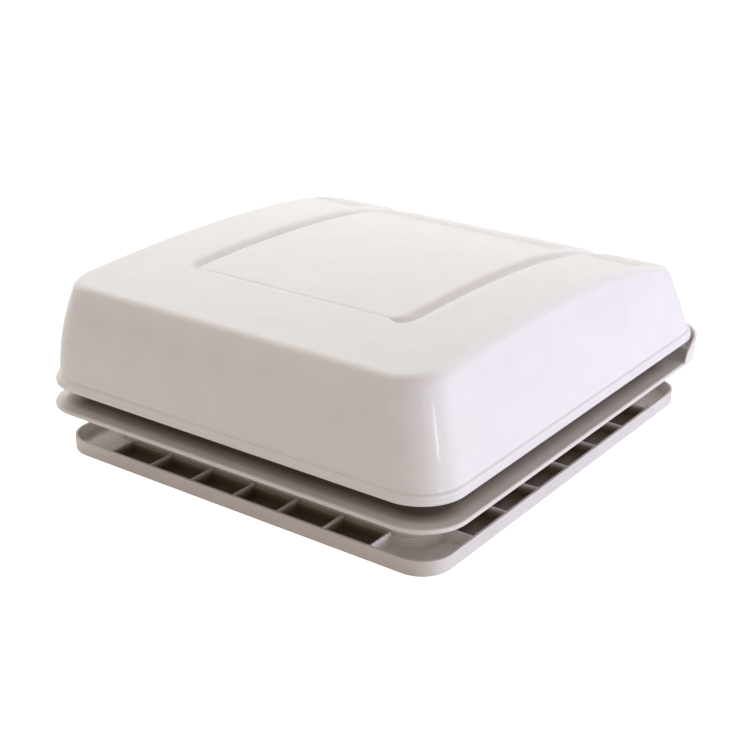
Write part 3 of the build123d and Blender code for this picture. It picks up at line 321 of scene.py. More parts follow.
# %% Helpers for meshes
SHARP_ANGLE = 35.0
BODY_OF = {}
for body, names in frame["record"]["behaviour"]["bodies"].items():
    for name in names:
        BODY_OF[name] = body


def quads(index, wrap=False):
    """Quads between neighbours in a grid of point numbers, closed along the columns if wrapped."""
    if wrap:
        index = np.concatenate([index, index[:, :1]], axis=1)
    corners = (index[:-1, :-1], index[:-1, 1:], index[1:, 1:], index[1:, :-1])
    return np.stack(corners, axis=-1).reshape(-1, 4)


def finish_piece(name, mesh, node, sharp):
    """Shades a mesh, dresses it as its node and lets it take the node's place."""
    mesh.polygons.foreach_set("use_smooth", np.ones(len(mesh.polygons), dtype=bool))
    mesh.set_sharp_from_angle(angle=np.radians(sharp))
    mesh.materials.clear()
    mesh.materials.append(finishes[slot_of[node]])
    piece = bpy.data.objects.new(name, mesh)
    bpy.context.scene.collection.objects.link(piece)
    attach(piece, BODY_OF[node])
    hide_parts(node)
    return piece


def make_piece(name, points, faces, node, sharp=SHARP_ANGLE):
    """Puts millimetre points and quads into a mesh that takes the place of a node."""
    mesh = bpy.data.meshes.new(name)
    mesh.from_pydata((np.asarray(points) * 0.001).tolist(), [], np.asarray(faces).tolist())
    mesh.update()
    print(name, "has", len(faces), "faces")
    return finish_piece(name, mesh, node, sharp)


def stacked(parts):
    """Joins (points, faces) pairs into one pair."""
    counts = np.cumsum([0] + [len(points) for points, faces in parts])
    points = np.concatenate([points for points, faces in parts])
    faces = np.concatenate([faces + start for (_, faces), start in zip(parts, counts)])
    return points, faces


# %% [markdown]
# The lid's walls are rounded rectangles that shrink on their way up, and its top is an arch that
# falls faster to the rear. Both follow the CAD's driving outlines: a row of CROWN is a place along
# the lid and its height, and a row of WALL is a height above the lip and how far front, side and
# rear have come in there. A place on a rounded rectangle is an anchor on its inner rectangle plus
# the corner radius along an outward direction, so one set of anchors and directions serves every
# height.

# %% Outlines of the lid
LID_HALF = 244.0
LID_FRONT = -246.7
LID_REAR = 286.0
LID_CORNER = 46.6
CORNER_SHRINK = 0.45
LIP_TOP = 35.5
CROWN = np.array([
    (-262.0, 132.6), (-175.0, 138.0), (-103.0, 141.0), (-25.0, 142.0), (58.0, 138.8),
    (148.0, 129.4), (206.0, 118.0), (246.0, 104.6), (306.0, 78.0),
])
WALL = np.array([
    (0.0, 4.0, 4.0, 4.0), (22.0, 4.3, 6.2, 14.0), (46.0, 6.4, 10.2, 25.0), (70.0, 10.6, 16.6, 36.5),
    (92.0, 16.0, 23.6, 48.0), (112.0, 22.0, 31.0, 60.0),
])
fit = np.polynomial.Polynomial.fit
arch = fit(CROWN[:, 0], CROWN[:, 1], 6)
front_inset, side_inset, rear_inset = [fit(WALL[:, 0], WALL[:, k], 4) for k in (1, 2, 3)]
missed = np.abs(arch(CROWN[:, 0]) - CROWN[:, 1]).max()
print("arch misses its points by", round(float(missed), 2), "mm")


def on_outline(walk, half, low, high, corner):
    """Places on a rounded rectangle: anchor times inner half size, plus corner along the direction."""
    x = walk["ax"] * (half - corner) + walk["nx"] * corner
    y = (low + high) / 2 + walk["ay"] * ((high - low) / 2 - corner) + walk["ny"] * corner
    return x, y


def on_wall(walk, rise, inward):
    """Places on the lid's wall at a height above the lip, drawn in by a wall thickness."""
    half = LID_HALF - side_inset(rise) - inward
    low = LID_FRONT + front_inset(rise) + inward
    high = LID_REAR - rear_inset(rise) - inward
    corner = LID_CORNER - CORNER_SHRINK * front_inset(rise) - inward
    return on_outline(walk, half, low, high, corner)


# %% [markdown]
# The top carries a three sided groove: a shallow front leg and two deeper side legs that widen to
# the rear. The real one is pressed in with the sheet. It could be cut with a boolean, but as a
# height taken off the arch it stays smooth. Across, it is a valley with soft shoulders that steepen
# to a narrow bottom, so its depth is the square of how near a place is to its middle line.

# %% The pressed groove
GROOVE_X = 130.5
GROOVE_FRONT = -131.0
GROOVE_CORNER = 17.0
GROOVE_LONG = 380.0
LEG_START = GROOVE_X - GROOVE_CORNER - 3
LEG_BLEND = 16.0
FRONT_WIDE = 4.5
LEG_WIDER = 7.5
REAR_WIDER = 11.0
FRONT_DEEP = 1.1
LEG_DEEPER = 4.9
BOTTOM_ROUND = 0.5


def smooth_step(value):
    """Rises from 0 to 1 with level ends: 3 t squared less 2 t cubed."""
    t = np.clip(value, 0, 1)
    return t * t * (3 - 2 * t)


def inside_by(x, y, half, front, corner):
    """How far a place lies inside a rounded outline that is open to the rear."""
    across = np.abs(x) - (half - corner)
    along = (front + corner) - y
    past = np.hypot(np.maximum(across, 0), np.maximum(along, 0))
    return corner - past - np.minimum(np.maximum(across, along), 0)


def groove_depth(x, y):
    """The square of 1 less t, times the depth. t is the way to the middle line over the half width."""
    run = np.clip((y - GROOVE_FRONT) / GROOVE_LONG, 0, 1)
    leg = smooth_step((np.abs(x) - LEG_START) / LEG_BLEND)
    wide = FRONT_WIDE + leg * (LEG_WIDER + REAR_WIDER * run**1.5)
    deep = FRONT_DEEP + LEG_DEEPER * leg
    away = np.hypot(inside_by(x, y, GROOVE_X, GROOVE_FRONT, GROOVE_CORNER), BOTTOM_ROUND)
    return deep * (1 - np.clip(away / wide, 0, 1)) ** 2


def crown(x, y):
    """Height of the lid's top: the arch less the groove."""
    return arch(y) - groove_depth(x, y)


# %% [markdown]
# The top is a grid whose lines gather along the groove, so that it stays crisp with few faces. The
# square grid's corners are bent to arcs by the map of a square to a disc. Its rim is then carried
# down as rings: over the rounded edge, down the wall, round the lip and up the inside. The edge is
# crisp in front and soft along the sides, as in the photograph. REACH is how far it goes each way.

# %% The lines of the lid's top
GRID_CORNER = 30.0
GRID_HALF = 205.0
END_ZONE = 40.0
PULL_START = 160.0
REACH_FRONT = 6.5
REACH_SIDE = 9.5
REACH_REAR = 9.0


def crossing(start, side):
    """The y where the front or the rear wall meets the crown, settled in eight rounds."""
    y = start
    for _ in range(8):
        rise = arch(y) - LIP_TOP
        y = LID_FRONT + front_inset(rise) if side < 0 else LID_REAR - rear_inset(rise)
    return y


def gathered(stops):
    """Grid lines from (start, end, step) stretches."""
    lines = [np.arange(a, b, step) for a, b, step in stops]
    return np.concatenate(lines + [[stops[-1][1]]])


TOP_LOW = crossing(-220.0, -1) + REACH_FRONT
TOP_HIGH = crossing(250.0, 1) - REACH_REAR
RIGHT_LINES = gathered([
    (0, 96, 12), (96, 124, 2.0), (124, 127.5, 1.0), (127.5, 133.5, 0.5), (133.5, 136, 1.0),
    (136, 160, 2.0), (160, GRID_HALF, 4),
])
ALONG_LINES = gathered([
    (TOP_LOW, -146, 4), (-146, -137, 1.0), (-137, -126, 0.5), (-126, -108, 1.2),
    (-108, TOP_HIGH - 36, 7), (TOP_HIGH - 36, TOP_HIGH, 2.5),
])
print("top of the lid runs from", round(float(TOP_LOW), 1), "to", round(float(TOP_HIGH), 1))

# %% [markdown]
# The sheet's top and its inner face are the same grid at two sizes. Where a side is pulled in or out
# to meet the wall, the pull starts well outside the groove, so that it doesn't bend it.

# %% The lid's top as a grid


def top_grid(inward):
    """The grid's (x, y) and where they come to lie.

    Past the corner's start, with u and v from 0 to 1 across and along, a line of the square goes
    to u times the root of 1 less half of v squared. The sides are then pulled to the wall's edge.
    """
    across = np.concatenate([-RIGHT_LINES[:0:-1], RIGHT_LINES])
    low = TOP_LOW + inward
    high = TOP_HIGH - inward
    kept_low = TOP_LOW + END_ZONE
    kept_high = TOP_HIGH - END_ZONE
    ends = [TOP_LOW, kept_low, kept_high, TOP_HIGH]
    along = np.interp(ALONG_LINES, ends, [low, kept_low, kept_high, high])
    x, y = np.meshgrid(across, along)
    straight = GRID_HALF - GRID_CORNER
    u = np.clip((np.abs(x) - straight) / GRID_CORNER, 0, 1)
    far = np.where(y > 0, y - (high - GRID_CORNER), (low + GRID_CORNER) - y)
    v = np.clip(far / GRID_CORNER, 0, 1)
    bent_u = straight + GRID_CORNER * u * np.sqrt(1 - v * v / 2)
    bent_x = np.sign(x) * np.where(u > 0, bent_u, np.abs(x))
    bent_v = GRID_CORNER * v * np.sqrt(1 - u * u / 2)
    bent_y = np.where(v > 0, np.where(y > 0, high - GRID_CORNER + bent_v, low + GRID_CORNER - bent_v), y)
    rim_half = LID_HALF - side_inset(arch(bent_y) - LIP_TOP) - REACH_SIDE - inward
    pull = smooth_step((np.abs(bent_x) - PULL_START) / (GRID_HALF - PULL_START))
    bent_x = bent_x + np.sign(x) * pull * (rim_half - GRID_HALF)
    return x, y, bent_x, bent_y, low, high


def rim_of(table):
    """The values round the edge of a table, counterclockwise from its first corner."""
    return np.concatenate([table[0, :-1], table[:-1, -1], table[-1, :0:-1], table[:0:-1, 0]])


def walk_of(x, y, low, high):
    """Anchors and outward directions of the rim of the square grid.

    An anchor goes from -1 to 1 along the inner rectangle. A direction is the corner's bent (u, v),
    made one long.
    """
    rx = rim_of(x)
    ry = rim_of(y)
    half_x = GRID_HALF - GRID_CORNER
    half_y = (high - low) / 2 - GRID_CORNER
    middle = (low + high) / 2
    u = np.sign(rx) * np.clip((np.abs(rx) - half_x) / GRID_CORNER, 0, 1)
    v = np.sign(ry - middle) * np.clip((np.abs(ry - middle) - half_y) / GRID_CORNER, 0, 1)
    nx = u * np.sqrt(1 - v * v / 2)
    ny = v * np.sqrt(1 - u * u / 2)
    size = np.hypot(nx, ny)
    ax = np.clip(rx / half_x, -1, 1)
    ay = np.clip((ry - middle) / half_y, -1, 1)
    return {"ax": ax, "ay": ay, "nx": nx / size, "ny": ny / size}


# %% [markdown]
# A drawn sheet rounds its edges by itself. The edge starts at the top's rim, ends on the wall and is
# drawn to the corner where the two would meet. A bevel modifier has one width for a whole edge, and
# this one changes all the way round. Below, the lip curls out, down and in as a list of steps.

# %% The lid's edge, wall and lip
EDGE_PULL = 0.6
LIP_CORNER_SHRINK = 0.6


def edge_rings(walk, rim, inward, count):
    """Rings over the rounded edge: a cubic curve from the top's rim by the sharp corner to the wall.

    The sharp corner is where wall and arch meet, settled in five rounds.
    """
    rim_x, rim_y, rim_z = rim
    y = rim_y
    for _ in range(5):
        x, y = on_wall(walk, arch(y) - LIP_TOP, inward)
    corner_z = crown(x, y) - inward
    end_reach = np.where(walk["ny"] > 0, REACH_REAR, REACH_FRONT)
    reach = REACH_SIDE * walk["nx"] ** 2 + end_reach * walk["ny"] ** 2
    foot_z = corner_z - reach
    foot_x, foot_y = on_wall(walk, foot_z + inward - LIP_TOP, inward)
    start = np.stack([rim_x, rim_y, rim_z], axis=-1)
    sharp = np.stack([x, y, corner_z], axis=-1)
    foot = np.stack([foot_x, foot_y, foot_z], axis=-1)
    first = start + EDGE_PULL * (sharp - start)
    second = foot + EDGE_PULL * (sharp - foot)
    t = np.linspace(0, 1, count + 1)[1:, None, None]
    rings = (1 - t) ** 3 * start + 3 * (1 - t) ** 2 * t * first
    rings = rings + 3 * (1 - t) * t**2 * second + t**3 * foot
    return rings, foot_z


def wall_rings(walk, top_z, bottom_z, inward, count):
    """Rings down the wall from each place's own top height to one bottom height."""
    t = np.linspace(0, 1, count + 1)[1:, None]
    z = top_z + (bottom_z - top_z) * t
    x, y = on_wall(walk, z + inward - LIP_TOP, inward)
    return np.stack([x, y, z], axis=-1)


def lip_rings(walk, steps):
    """Rings at given (inset, height) pairs from the lip's outline."""
    rings = []
    for inset, z in steps:
        corner = LID_CORNER - LIP_CORNER_SHRINK * inset
        x, y = on_outline(walk, LID_HALF - inset, LID_FRONT + inset, LID_REAR - inset, corner)
        rings.append(np.stack([x, y, np.full_like(x, z)], axis=-1))
    return np.stack(rings)


LIP = [
    (3.95, 36.4), (3.8, 36.0), (3.5, 35.7), (3.0, 35.5), (2.4, 35.2), (1.9, 34.8), (1.5, 34.3),
    (1.2, 33.7), (1.0, 33.0), (0.9, 32.2), (0.85, 31.7), (0.7, 31.35), (0.45, 31.1), (0.2, 30.7),
    (0.05, 30.2), (0.0, 29.5), (0.0, 27.2), (0.1, 26.6), (0.4, 26.15), (1.0, 26.0), (6.3, 26.0),
    (6.8, 26.15), (7.0, 26.6), (7.0, 30.5), (7.0, 35.0),
]

# %% [markdown]
# The parts of the lid meet ring on ring: the top's rim, the edge, the wall, the lip, then the same
# back up inside, three millimetres in, and last the inner face. One list of rings holds them, so
# the shell is closed without merging points. A Solidify modifier would make the inside quicker, but
# not its rounded lip.

# %% The lid
LID_WALL = 3.0
WALL_FOOT = 37.2
BACK_FOOT = 38.0


def lid_surface():
    """Outer grid, rings down and up again, and inner grid, as points and quads."""
    x, y, bent_x, bent_y, low, high = top_grid(0.0)
    walk = walk_of(x, y, low, high)
    top = np.stack([bent_x, bent_y, crown(bent_x, bent_y)], axis=-1)
    rim = [rim_of(top[..., k]) for k in range(3)]
    _, _, inner_x, inner_y, _, _ = top_grid(LID_WALL)
    inner = np.stack([inner_x, inner_y, crown(inner_x, inner_y) - LID_WALL], axis=-1)
    inner_rim = [rim_of(inner[..., k]) for k in range(3)]
    rounded, foot = edge_rings(walk, rim, 0.0, 10)
    wall = wall_rings(walk, foot, WALL_FOOT, 0.0, 16)
    lip = lip_rings(walk, LIP)
    back_rounded, back_foot = edge_rings(walk, inner_rim, LID_WALL, 6)
    back_wall = wall_rings(walk, back_foot, BACK_FOOT, LID_WALL, 8)
    rings = np.concatenate([rounded, wall, lip, back_wall[::-1], back_rounded[::-1]])
    count = top.shape[0] * top.shape[1]
    around = rings.shape[1]
    grid = np.arange(count).reshape(top.shape[:2])
    ring_index = count + np.arange(rings.shape[0] * around).reshape(rings.shape[0], around)
    inner_index = count + rings.shape[0] * around + np.arange(count).reshape(top.shape[:2])
    band = np.concatenate([rim_of(grid)[None], ring_index, rim_of(inner_index)[None]])
    points = np.concatenate([top.reshape(-1, 3), rings.reshape(-1, 3), inner.reshape(-1, 3)])
    faces = np.concatenate([quads(grid), quads(band, wrap=True)[:, ::-1], quads(inner_index)[:, ::-1]])
    return points, faces


lid_points, lid_faces = lid_surface()
make_piece("lid_dome_skin", lid_points, lid_faces, "lid_dome", sharp=60.0)

# %% [markdown]
# The outer frame is one section carried round a rounded square: over the upstand, down the concave
# sweep, which is a quarter of an ellipse, out over the flange, round its edge and back below. A
# curve with a bevel object could carry the section too, but only the flange's own rows are longer
# to the rear, where the cowl and the hinges stand, and rows of numbers allow that.

# %% The section of the outer frame
NECK_OUT = 195.0
NECK_CORNER = 32.0
CORNER_GROWTH = 0.3
UPSTAND = 203.5
SWEEP_WIDE = 37.5
SWEEP_HIGH = 29.5
SKIN = 2.8
SKIN_TOP = 33.5
CHANNEL_EDGE = 238.0
CHANNEL_TOP = 1.7
FLANGE_WALL = 4.5
# Half width, front, rear and corner radius.
FLANGE = (247.0, -247.4, 292.5, 47.0)


def rounded_walk(side_count, corner_count):
    """Anchors and directions once round a rounded rectangle, counterclockwise from the right."""
    turn = np.linspace(0, np.pi / 2, corner_count + 1)
    slide = np.linspace(-1, 1, side_count + 1)[1:-1]
    parts = []
    for quarter, (sx, sy) in enumerate([(1, 1), (-1, 1), (-1, -1), (1, -1)]):
        angle = turn + quarter * np.pi / 2
        end = angle[-1]
        anchor = [np.full_like(angle, sx), np.full_like(angle, sy)]
        corner = np.stack([*anchor, np.cos(angle), np.sin(angle)])
        ax = np.where(np.abs(np.sin(end)) > 0.5, -np.sin(end) * slide, sx)
        ay = np.where(np.abs(np.cos(end)) > 0.5, np.cos(end) * slide, sy)
        side = np.stack([ax, ay, np.full_like(slide, np.cos(end)), np.full_like(slide, np.sin(end))])
        parts += [corner, side]
    table = np.concatenate(parts, axis=1)
    return dict(zip(("ax", "ay", "nx", "ny"), table))


def rows_to_rings(walk, rows):
    """Rings of points from (half, low, high, corner, z) rows."""
    rings = []
    for half, low, high, corner, z in rows:
        x, y = on_outline(walk, half, low, high, corner)
        rings.append(np.stack([x, y, np.full_like(x, z)], axis=-1))
    return np.stack(rings)


def square_row(half, z):
    """A row of the square part, whose corner radius grows with its size."""
    return (half, -half, half, NECK_CORNER + (half - NECK_OUT) * CORNER_GROWTH, z)


def flange_row(inset, z):
    """A row of the flange, as far in from its edge on every side."""
    half, low, high, corner = FLANGE
    return (half - inset, low + inset, high - inset, corner - inset, z)


def closed_tube(rings):
    """Quads of rings that close on themselves, with faces outward."""
    index = np.arange(rings.shape[0] * rings.shape[1]).reshape(rings.shape[:2])
    index = np.concatenate([index, index[:1]])
    return rings.reshape(-1, 3), quads(index, wrap=True)[:, ::-1]


def frame_section():
    """Rows round the section: the sweep goes out by 1 less sine and up by 1 less cosine."""
    rows = [square_row(half, z) for half, z in [
        (192.0, SKIN_TOP), (192.0, 35.3), (192.2, 35.8), (192.7, 36.0), (202.3, 36.0),
        (203.0, 35.85), (203.4, 35.4), (UPSTAND, 34.8),
    ]]
    for angle in np.radians(np.linspace(90, 0, 19)):
        half = UPSTAND + SWEEP_WIDE * (1 - np.sin(angle))
        rows.append(square_row(half, FLANGE_WALL + SWEEP_HIGH * (1 - np.cos(angle))))
    rows += [flange_row(inset, z) for inset, z in [
        (2.6, 4.5), (1.5, 4.4), (0.7, 4.0), (0.2, 3.3), (0.0, 2.4), (0.0, 1.1), (0.15, 0.5), (0.6, 0.1),
        (1.2, 0.0),
    ]]
    rows += [square_row(CHANNEL_EDGE, 0.0), square_row(CHANNEL_EDGE, CHANNEL_TOP)]
    for angle in np.radians(np.linspace(6, 90, 9)):
        half = UPSTAND + SWEEP_WIDE * (1 - np.sin(angle)) - SKIN * np.sin(angle)
        z = FLANGE_WALL + SWEEP_HIGH * (1 - np.cos(angle)) - SKIN * np.cos(angle)
        rows.append(square_row(half, min(z, SKIN_TOP)))
    return rows


round_walk = rounded_walk(18, 12)
frame_shell = closed_tube(rows_to_rings(round_walk, frame_section()))

# %% [markdown]
# Two pairs of lugs carry the hinge pins. Each is a plate with a bore: every point of its outline has
# a partner on the bore in the same direction, and the outline is a polygon and an arc. So the hole
# is there without a boolean, and the plate is closed.

# %% Hinge lugs
PIN_PLACE = np.array([268.0, 34.0])
KNUCKLE = 5.5
BORE = 2.55
LUG_STARTS = (118.0, 136.0)
LUG_THICK = 6.0
LUG_POLYGON = np.array([(262.6, 35.2), (247.0, 20.0), (237.0, 3.0), (258.0, 3.0), (266.4, 28.8)])


def lug(x_low, x_high):
    """Rings of a lug: bore, outline, outline, bore, over two sides that lie apart along X.

    The outline's arc runs from 253 to 527 degrees, between the ends of the polygon.
    """
    stops = np.concatenate([[0], np.cumsum(np.hypot(*np.diff(LUG_POLYGON, axis=0).T))])
    spots = np.linspace(0, stops[-1], 25)
    body = np.stack([np.interp(spots, stops, LUG_POLYGON[:, k]) for k in range(2)], axis=-1)
    arc = np.radians(np.linspace(253, 527, 26))[1:-1]
    knuckle = PIN_PLACE + KNUCKLE * np.stack([np.cos(arc), np.sin(arc)], axis=-1)
    outline = np.concatenate([body, knuckle])
    away = outline - PIN_PLACE
    bore = PIN_PLACE + BORE * away / np.hypot(*away.T)[:, None]
    rings = []
    for x, flat in [(x_low, bore), (x_low, outline), (x_high, outline), (x_high, bore)]:
        rings.append(np.column_stack([np.full(len(flat), x), flat]))
    return closed_tube(np.stack(rings))


lugs = []
for side in (-1, 1):
    for edge in LUG_STARTS:
        ends = sorted((side * edge, side * (edge + LUG_THICK)))
        points, faces = lug(*ends)
        lugs.append((points, faces[:, ::-1]))
frame_points, frame_faces = stacked([frame_shell] + lugs)
make_piece("outer_frame_skin", frame_points, frame_faces, "outer_frame")

# %% [markdown]
# The cowl stands on the flange's rear edge and leans out a little. It keeps rain and wind out of
# the hinge gap. Its height follows the curve of its front ends: at each place round the edge, the
# top lies on that curve. COWL_RIM is its section, as shares of that height and millimetres out.

# %% The rear cowl
COWL_FOOT = 3.0
COWL_TOP = 28.5
COWL_START = 233.0
COWL_CURVE = np.array([
    (0.0, 3.0), (0.6, 7.0), (1.6, 11.0), (3.0, 14.3), (5.4, 18.0), (9.0, 21.1), (12.2, 23.3),
    (16.0, 25.1), (20.0, 26.6), (24.5, 27.8), (29.0, 28.5),
])
COWL_RIM = [
    (0.0, 0.0), (0.12, 0.35), (0.5, 1.15), (0.8, 1.7), (0.93, 1.8), (0.98, 1.45), (1.0, 0.7),
    (1.0, 0.0), (0.985, -0.9), (0.94, -1.3), (0.8, -1.5), (0.5, -2.1), (0.12, -2.95), (0.0, -3.3),
]
CORNER_STEPS = 13


def cowl_surface():
    """Rings along the flange's edge: up one side, round two corners and down the other side."""
    half, _, high, corner = FLANGE
    bend_y = high - corner
    ends = COWL_START + np.interp(np.linspace(0, 1, 24), np.linspace(0, 1, 11), COWL_CURVE[:, 0])
    legs = np.concatenate([ends, np.linspace(ends[-1] + 1, bend_y, 5)])
    legs = legs[legs < bend_y + 0.01]
    turn = np.linspace(0, np.pi / 2, CORNER_STEPS)
    ax = np.ones(len(legs) + CORNER_STEPS)
    path_y = np.concatenate([legs, np.full(CORNER_STEPS, bend_y)])
    nx = np.concatenate([np.ones(len(legs)), np.cos(turn)])
    ny = np.concatenate([np.zeros(len(legs)), np.sin(turn)])
    middle = np.linspace(1, -1, 21)[1:-1]
    ax = np.concatenate([ax, middle, -ax[::-1]])
    path_y = np.concatenate([path_y, np.full_like(middle, bend_y), path_y[::-1]])
    nx = np.concatenate([nx, np.zeros_like(middle), -nx[::-1]])
    ny = np.concatenate([ny, np.ones_like(middle), ny[::-1]])
    reach_y = path_y + ny * corner
    top = np.interp(reach_y - COWL_START, COWL_CURVE[:, 0], COWL_CURVE[:, 1])
    rings = []
    for share, out in COWL_RIM:
        z = COWL_FOOT + share * (top - COWL_FOOT)
        lean = out if out <= 0 else out * (top - COWL_FOOT) / (COWL_TOP - COWL_FOOT)
        x = ax * (half - corner) + nx * (corner + lean)
        y = path_y + ny * (corner + lean)
        rings.append(np.stack([x, y, z], axis=-1))
    return np.stack(rings)


cowl_rings = cowl_surface()
index = np.arange(cowl_rings.shape[0] * cowl_rings.shape[1]).reshape(cowl_rings.shape[:2])
index = np.concatenate([index, index[:1]])
make_piece("rear_cowl_skin", cowl_rings.reshape(-1, 3), quads(index)[:, ::-1], "rear_cowl")

# %% [markdown]
# The fly screen is a net of coated glass fibre threads, 1.6 mm apart. The real ones are woven, which
# can't be seen at this size, so the threads of one direction lie on those of the other. A see-through
# pattern would be lighter, but bars are there from every side. Each is
# a four sided bar with closed ends.

# %% The fly screen's net
NET_LOW = -44.25
NET_HALF = 166.9
NET_FRONT = -166.9
NET_REAR = 51.0
NET_PITCH = 1.6
THREAD = 0.23


def bars(starts, ends, half_wide):
    """Four sided bars between two lists of points, each half_wide in its two other directions."""
    low = np.minimum(starts, ends) - half_wide
    high = np.maximum(starts, ends) + half_wide
    square = np.array([(0, 0, 0), (1, 0, 0), (1, 1, 0), (0, 1, 0)])
    pick = np.concatenate([square, square + (0, 0, 1)])
    points = low[:, None, :] + (high - low)[:, None, :] * pick
    sides = np.array([
        (0, 3, 2, 1), (4, 5, 6, 7), (0, 1, 5, 4), (1, 2, 6, 5), (2, 3, 7, 6), (3, 0, 4, 7),
    ])
    faces = sides + 8 * np.arange(len(starts))[:, None, None]
    return points.reshape(-1, 3), faces.reshape(-1, 4)


def net():
    """One bar for every pitch along each side, the second layer a thread higher."""
    xs = np.arange(-NET_HALF + NET_PITCH / 2, NET_HALF, NET_PITCH)
    ys = np.arange(NET_FRONT + NET_PITCH / 2, NET_REAR, NET_PITCH)
    z = NET_LOW + THREAD / 2
    along_y = bars(
        np.column_stack([xs, np.full_like(xs, NET_FRONT), np.full_like(xs, z)]),
        np.column_stack([xs, np.full_like(xs, NET_REAR), np.full_like(xs, z)]),
        THREAD / 2,
    )
    z = z + THREAD
    along_x = bars(
        np.column_stack([np.full_like(ys, -NET_HALF), ys, np.full_like(ys, z)]),
        np.column_stack([np.full_like(ys, NET_HALF), ys, np.full_like(ys, z)]),
        THREAD / 2,
    )
    return stacked([along_y, along_x])


net_points, net_faces = net()
make_piece("fly_screen_net", net_points, net_faces, "fly_screen_mesh")

# %% [markdown]
# The large mouldings that are left have the right shape, but knife-sharp edges, which no mould
# gives. A copy of each gets its doubled points merged, smooth shading over shallow angles and a
# small bevel on sharp edges. The rubber seal is copied without a bevel. All other pieces keep their
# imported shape.

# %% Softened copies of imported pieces
MERGE_WITHIN = 0.000002
FLAT_WITHIN = 0.5
BEVEL_ABOVE = 40.0


def softened(node, bevel_mm):
    """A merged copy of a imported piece, with a bevel as wide as its mould's edges."""
    source = frame["nodes"][node]
    mesh = source.data.copy()
    mesh.transform(source.matrix_world)
    work = bmesh.new()
    work.from_mesh(mesh)
    bmesh.ops.remove_doubles(work, verts=work.verts, dist=MERGE_WITHIN)
    bmesh.ops.dissolve_limit(
        work, angle_limit=np.radians(FLAT_WITHIN),
        verts=work.verts, edges=work.edges, delimit={"NORMAL"},
    )
    work.to_mesh(mesh)
    work.free()
    piece = finish_piece(node + "_soft", mesh, node, SHARP_ANGLE)
    if bevel_mm:
        edge = piece.modifiers.new("broken_edges", "BEVEL")
        edge.width = bevel_mm * 0.001
        edge.segments = 2
        edge.limit_method = "ANGLE"
        edge.angle_limit = np.radians(BEVEL_ABOVE)


SOFTENED = {
    "inner_frame": 0.5,
    "frame_neck": 0.4,
    "lid_inner_pan": 0.5,
    "operator_trim": 0.5,
    "upstand_seal": 0.0,
    "fly_screen_frame": 0.4,
}
for node, bevel_mm in SOFTENED.items():
    softened(node, bevel_mm)
print("softened pieces:", len(SOFTENED))

# %% [markdown]
# The photograph was taken from the right of the front edge and a little above. Its view was
# worked out from the hatch's own edges: the picture is 750 pixels wide, the lens is 1483 pixels
# long in that picture, and the camera stands 36 degrees round and 23 degrees up. Its place is told
# in widths of the inner ring: to the side, up in the picture and back from the ring's middle.

# %% Camera
PICTURE = 750.0
SENSOR_MM = 36.0
LENS_PIXELS = 1482.76
AROUND = np.radians(36.13)
ABOVE = np.radians(23.26)
RING_WIDE = 0.462
TO_THE_SIDE = -0.0201
UP_IN_PICTURE = 0.1086
BACK_FROM_RING = 3.4687
ring_middle = Vector((0.0, 0.018, -0.052))
right = Vector((np.cos(AROUND), np.sin(AROUND), 0.0))
back = Vector((np.sin(AROUND) * np.cos(ABOVE), -np.cos(AROUND) * np.cos(ABOVE), np.sin(ABOVE)))
up = back.cross(right)
away = TO_THE_SIDE * right + UP_IN_PICTURE * up + BACK_FROM_RING * back
spot = ring_middle + RING_WIDE * away
lens = bpy.data.cameras.new("photo_camera")
lens.sensor_width = SENSOR_MM
lens.sensor_fit = "HORIZONTAL"
lens.lens = SENSOR_MM * LENS_PIXELS / PICTURE
camera = bpy.data.objects.new("photo_camera", lens)
turned = Matrix((right, up, back)).transposed().to_4x4()
camera.matrix_world = Matrix.Translation(spot) @ turned
bpy.context.scene.collection.objects.link(camera)
bpy.context.scene.camera = camera
print("camera stands", round(spot.length, 2), "m away")

# %% [markdown]
# The hatch stands on pale paper under a wide sky of soft light. The background of the photograph is
# plain white. More light would bleach the hatch, so paper and world show as white to the camera, and
# the world also to mirrors and glass, while the light that they give stays modest.

# %% Paper and world
FLOOR_Z = -0.052
FLOOR_GAP_MM = 0.05
FLOOR_REACH_MM = 9000.0
AMBIENT = 0.475
paper = bpy.data.materials.new("studio_paper")
paper.use_nodes = True
tree = paper.node_tree
tree.nodes.clear()
rays = add(tree, "LightPath")
sheet_shader = add(tree, "BsdfDiffuse", Color=linear("#F0F0F0"))
glow = add(tree, "Emission", Color=linear("#FFFFFF"), Strength=rays.outputs["Is Camera Ray"])
soft_glow = add(tree, "AddShader", in0=sheet_shader.outputs["BSDF"], in1=glow.outputs["Emission"])
add(tree, "OutputMaterial", Surface=soft_glow.outputs["Shader"])
corners = np.array([(-1, -1), (1, -1), (1, 1), (-1, 1)]) * FLOOR_REACH_MM
floor_points = np.column_stack([corners, np.full(4, FLOOR_Z * 1000 - FLOOR_GAP_MM)])
floor_mesh = bpy.data.meshes.new("studio_floor")
floor_mesh.from_pydata((floor_points * 0.001).tolist(), [], [(0, 1, 2, 3)])
floor_mesh.materials.append(paper)
floor = bpy.data.objects.new("studio_floor", floor_mesh)
bpy.context.scene.collection.objects.link(floor)

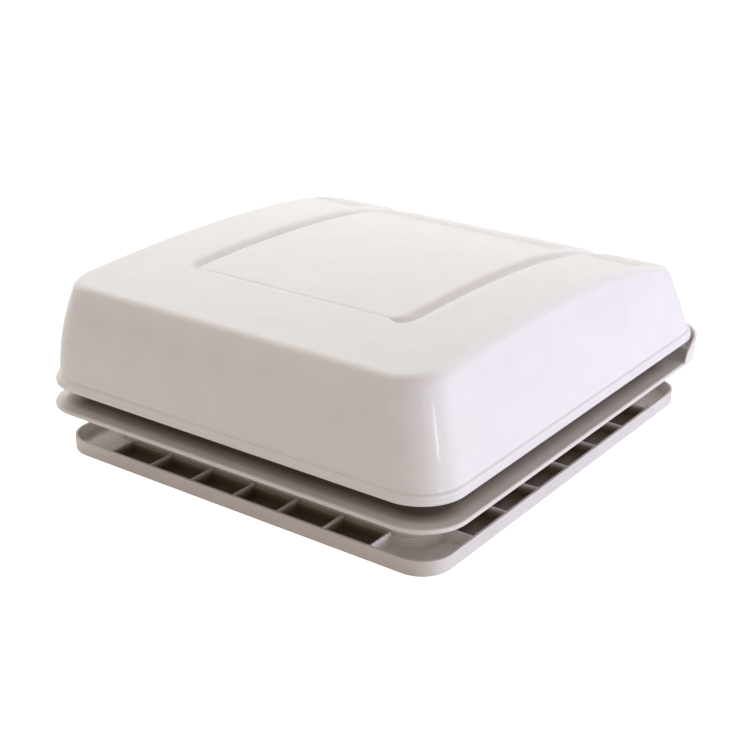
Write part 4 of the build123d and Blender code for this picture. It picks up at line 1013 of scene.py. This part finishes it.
world = bpy.data.worlds.new("studio_world")
bpy.context.scene.world = world
world.use_nodes = True
tree = world.node_tree
tree.nodes.clear()
rays = add(tree, "LightPath").outputs
seen = 0.0
for kind in ("Is Camera Ray", "Is Glossy Ray", "Is Transmission Ray"):
    seen = add(tree, "Math", {"operation": "MAXIMUM"}, in0=seen, in1=rays[kind]).outputs[0]
ambient = add(tree, "Background", Color=linear("#FFF0E9"), Strength=AMBIENT)
plain = add(tree, "Background", Color=linear("#FFFFFF"), Strength=1.0)
mixed = add(tree, "MixShader", in0=seen, in1=ambient.outputs[0], in2=plain.outputs[0])
add(tree, "OutputWorld", Surface=mixed.outputs[0])
print("ambient light:", AMBIENT)

# %% [markdown]
# In the photograph the right side is the brightest, the top comes next, and the front is a warm
# grey. So a wide cool lamp stands low at the right, where it lights the wall and hardly the grooves,
# and a square one hangs above the left rear for the top. Neither shows as a reflection. A narrow
# lamp that does stands off the front right corner, for the sharp light line on the lid's gloss.

# %% Lamps


def soft_lamp(name, place, aim, size, power, colour):
    """A rectangular lamp of so many metres and watts that looks from its place to its aim."""
    lamp = bpy.data.lights.new(name, "AREA")
    lamp.shape = "RECTANGLE"
    lamp.size = size[0]
    lamp.size_y = size[1]
    lamp.energy = power
    lamp.color = linear(colour)[:3]
    thing = bpy.data.objects.new(name, lamp)
    direction = Vector(aim) - Vector(place)
    turn = direction.to_track_quat("-Z", "Y").to_matrix().to_4x4()
    thing.matrix_world = Matrix.Translation(place) @ turn
    bpy.context.scene.collection.objects.link(thing)
    return thing


HATCH_MIDDLE = (0, 0, 0.1)
key = soft_lamp("key_lamp", (2.6, 1.3, 0.14), HATCH_MIDDLE, (1.8, 0.34), 51.0, "#DDE2FF")
top = soft_lamp("top_lamp", (-1.6, 1.0, 2.4), HATCH_MIDDLE, (1.8, 1.8), 56.0, "#F8FCFA")
key.visible_glossy = False
top.visible_glossy = False
soft_lamp("streak_lamp", (0.92, -0.35, 0.1), (0.2, -0.2, 0.08), (0.02, 0.3), 0.4, "#FFFFFF")
bpy.context.scene.view_settings.view_transform = "Standard"
print("lamps:", len(bpy.data.lights))
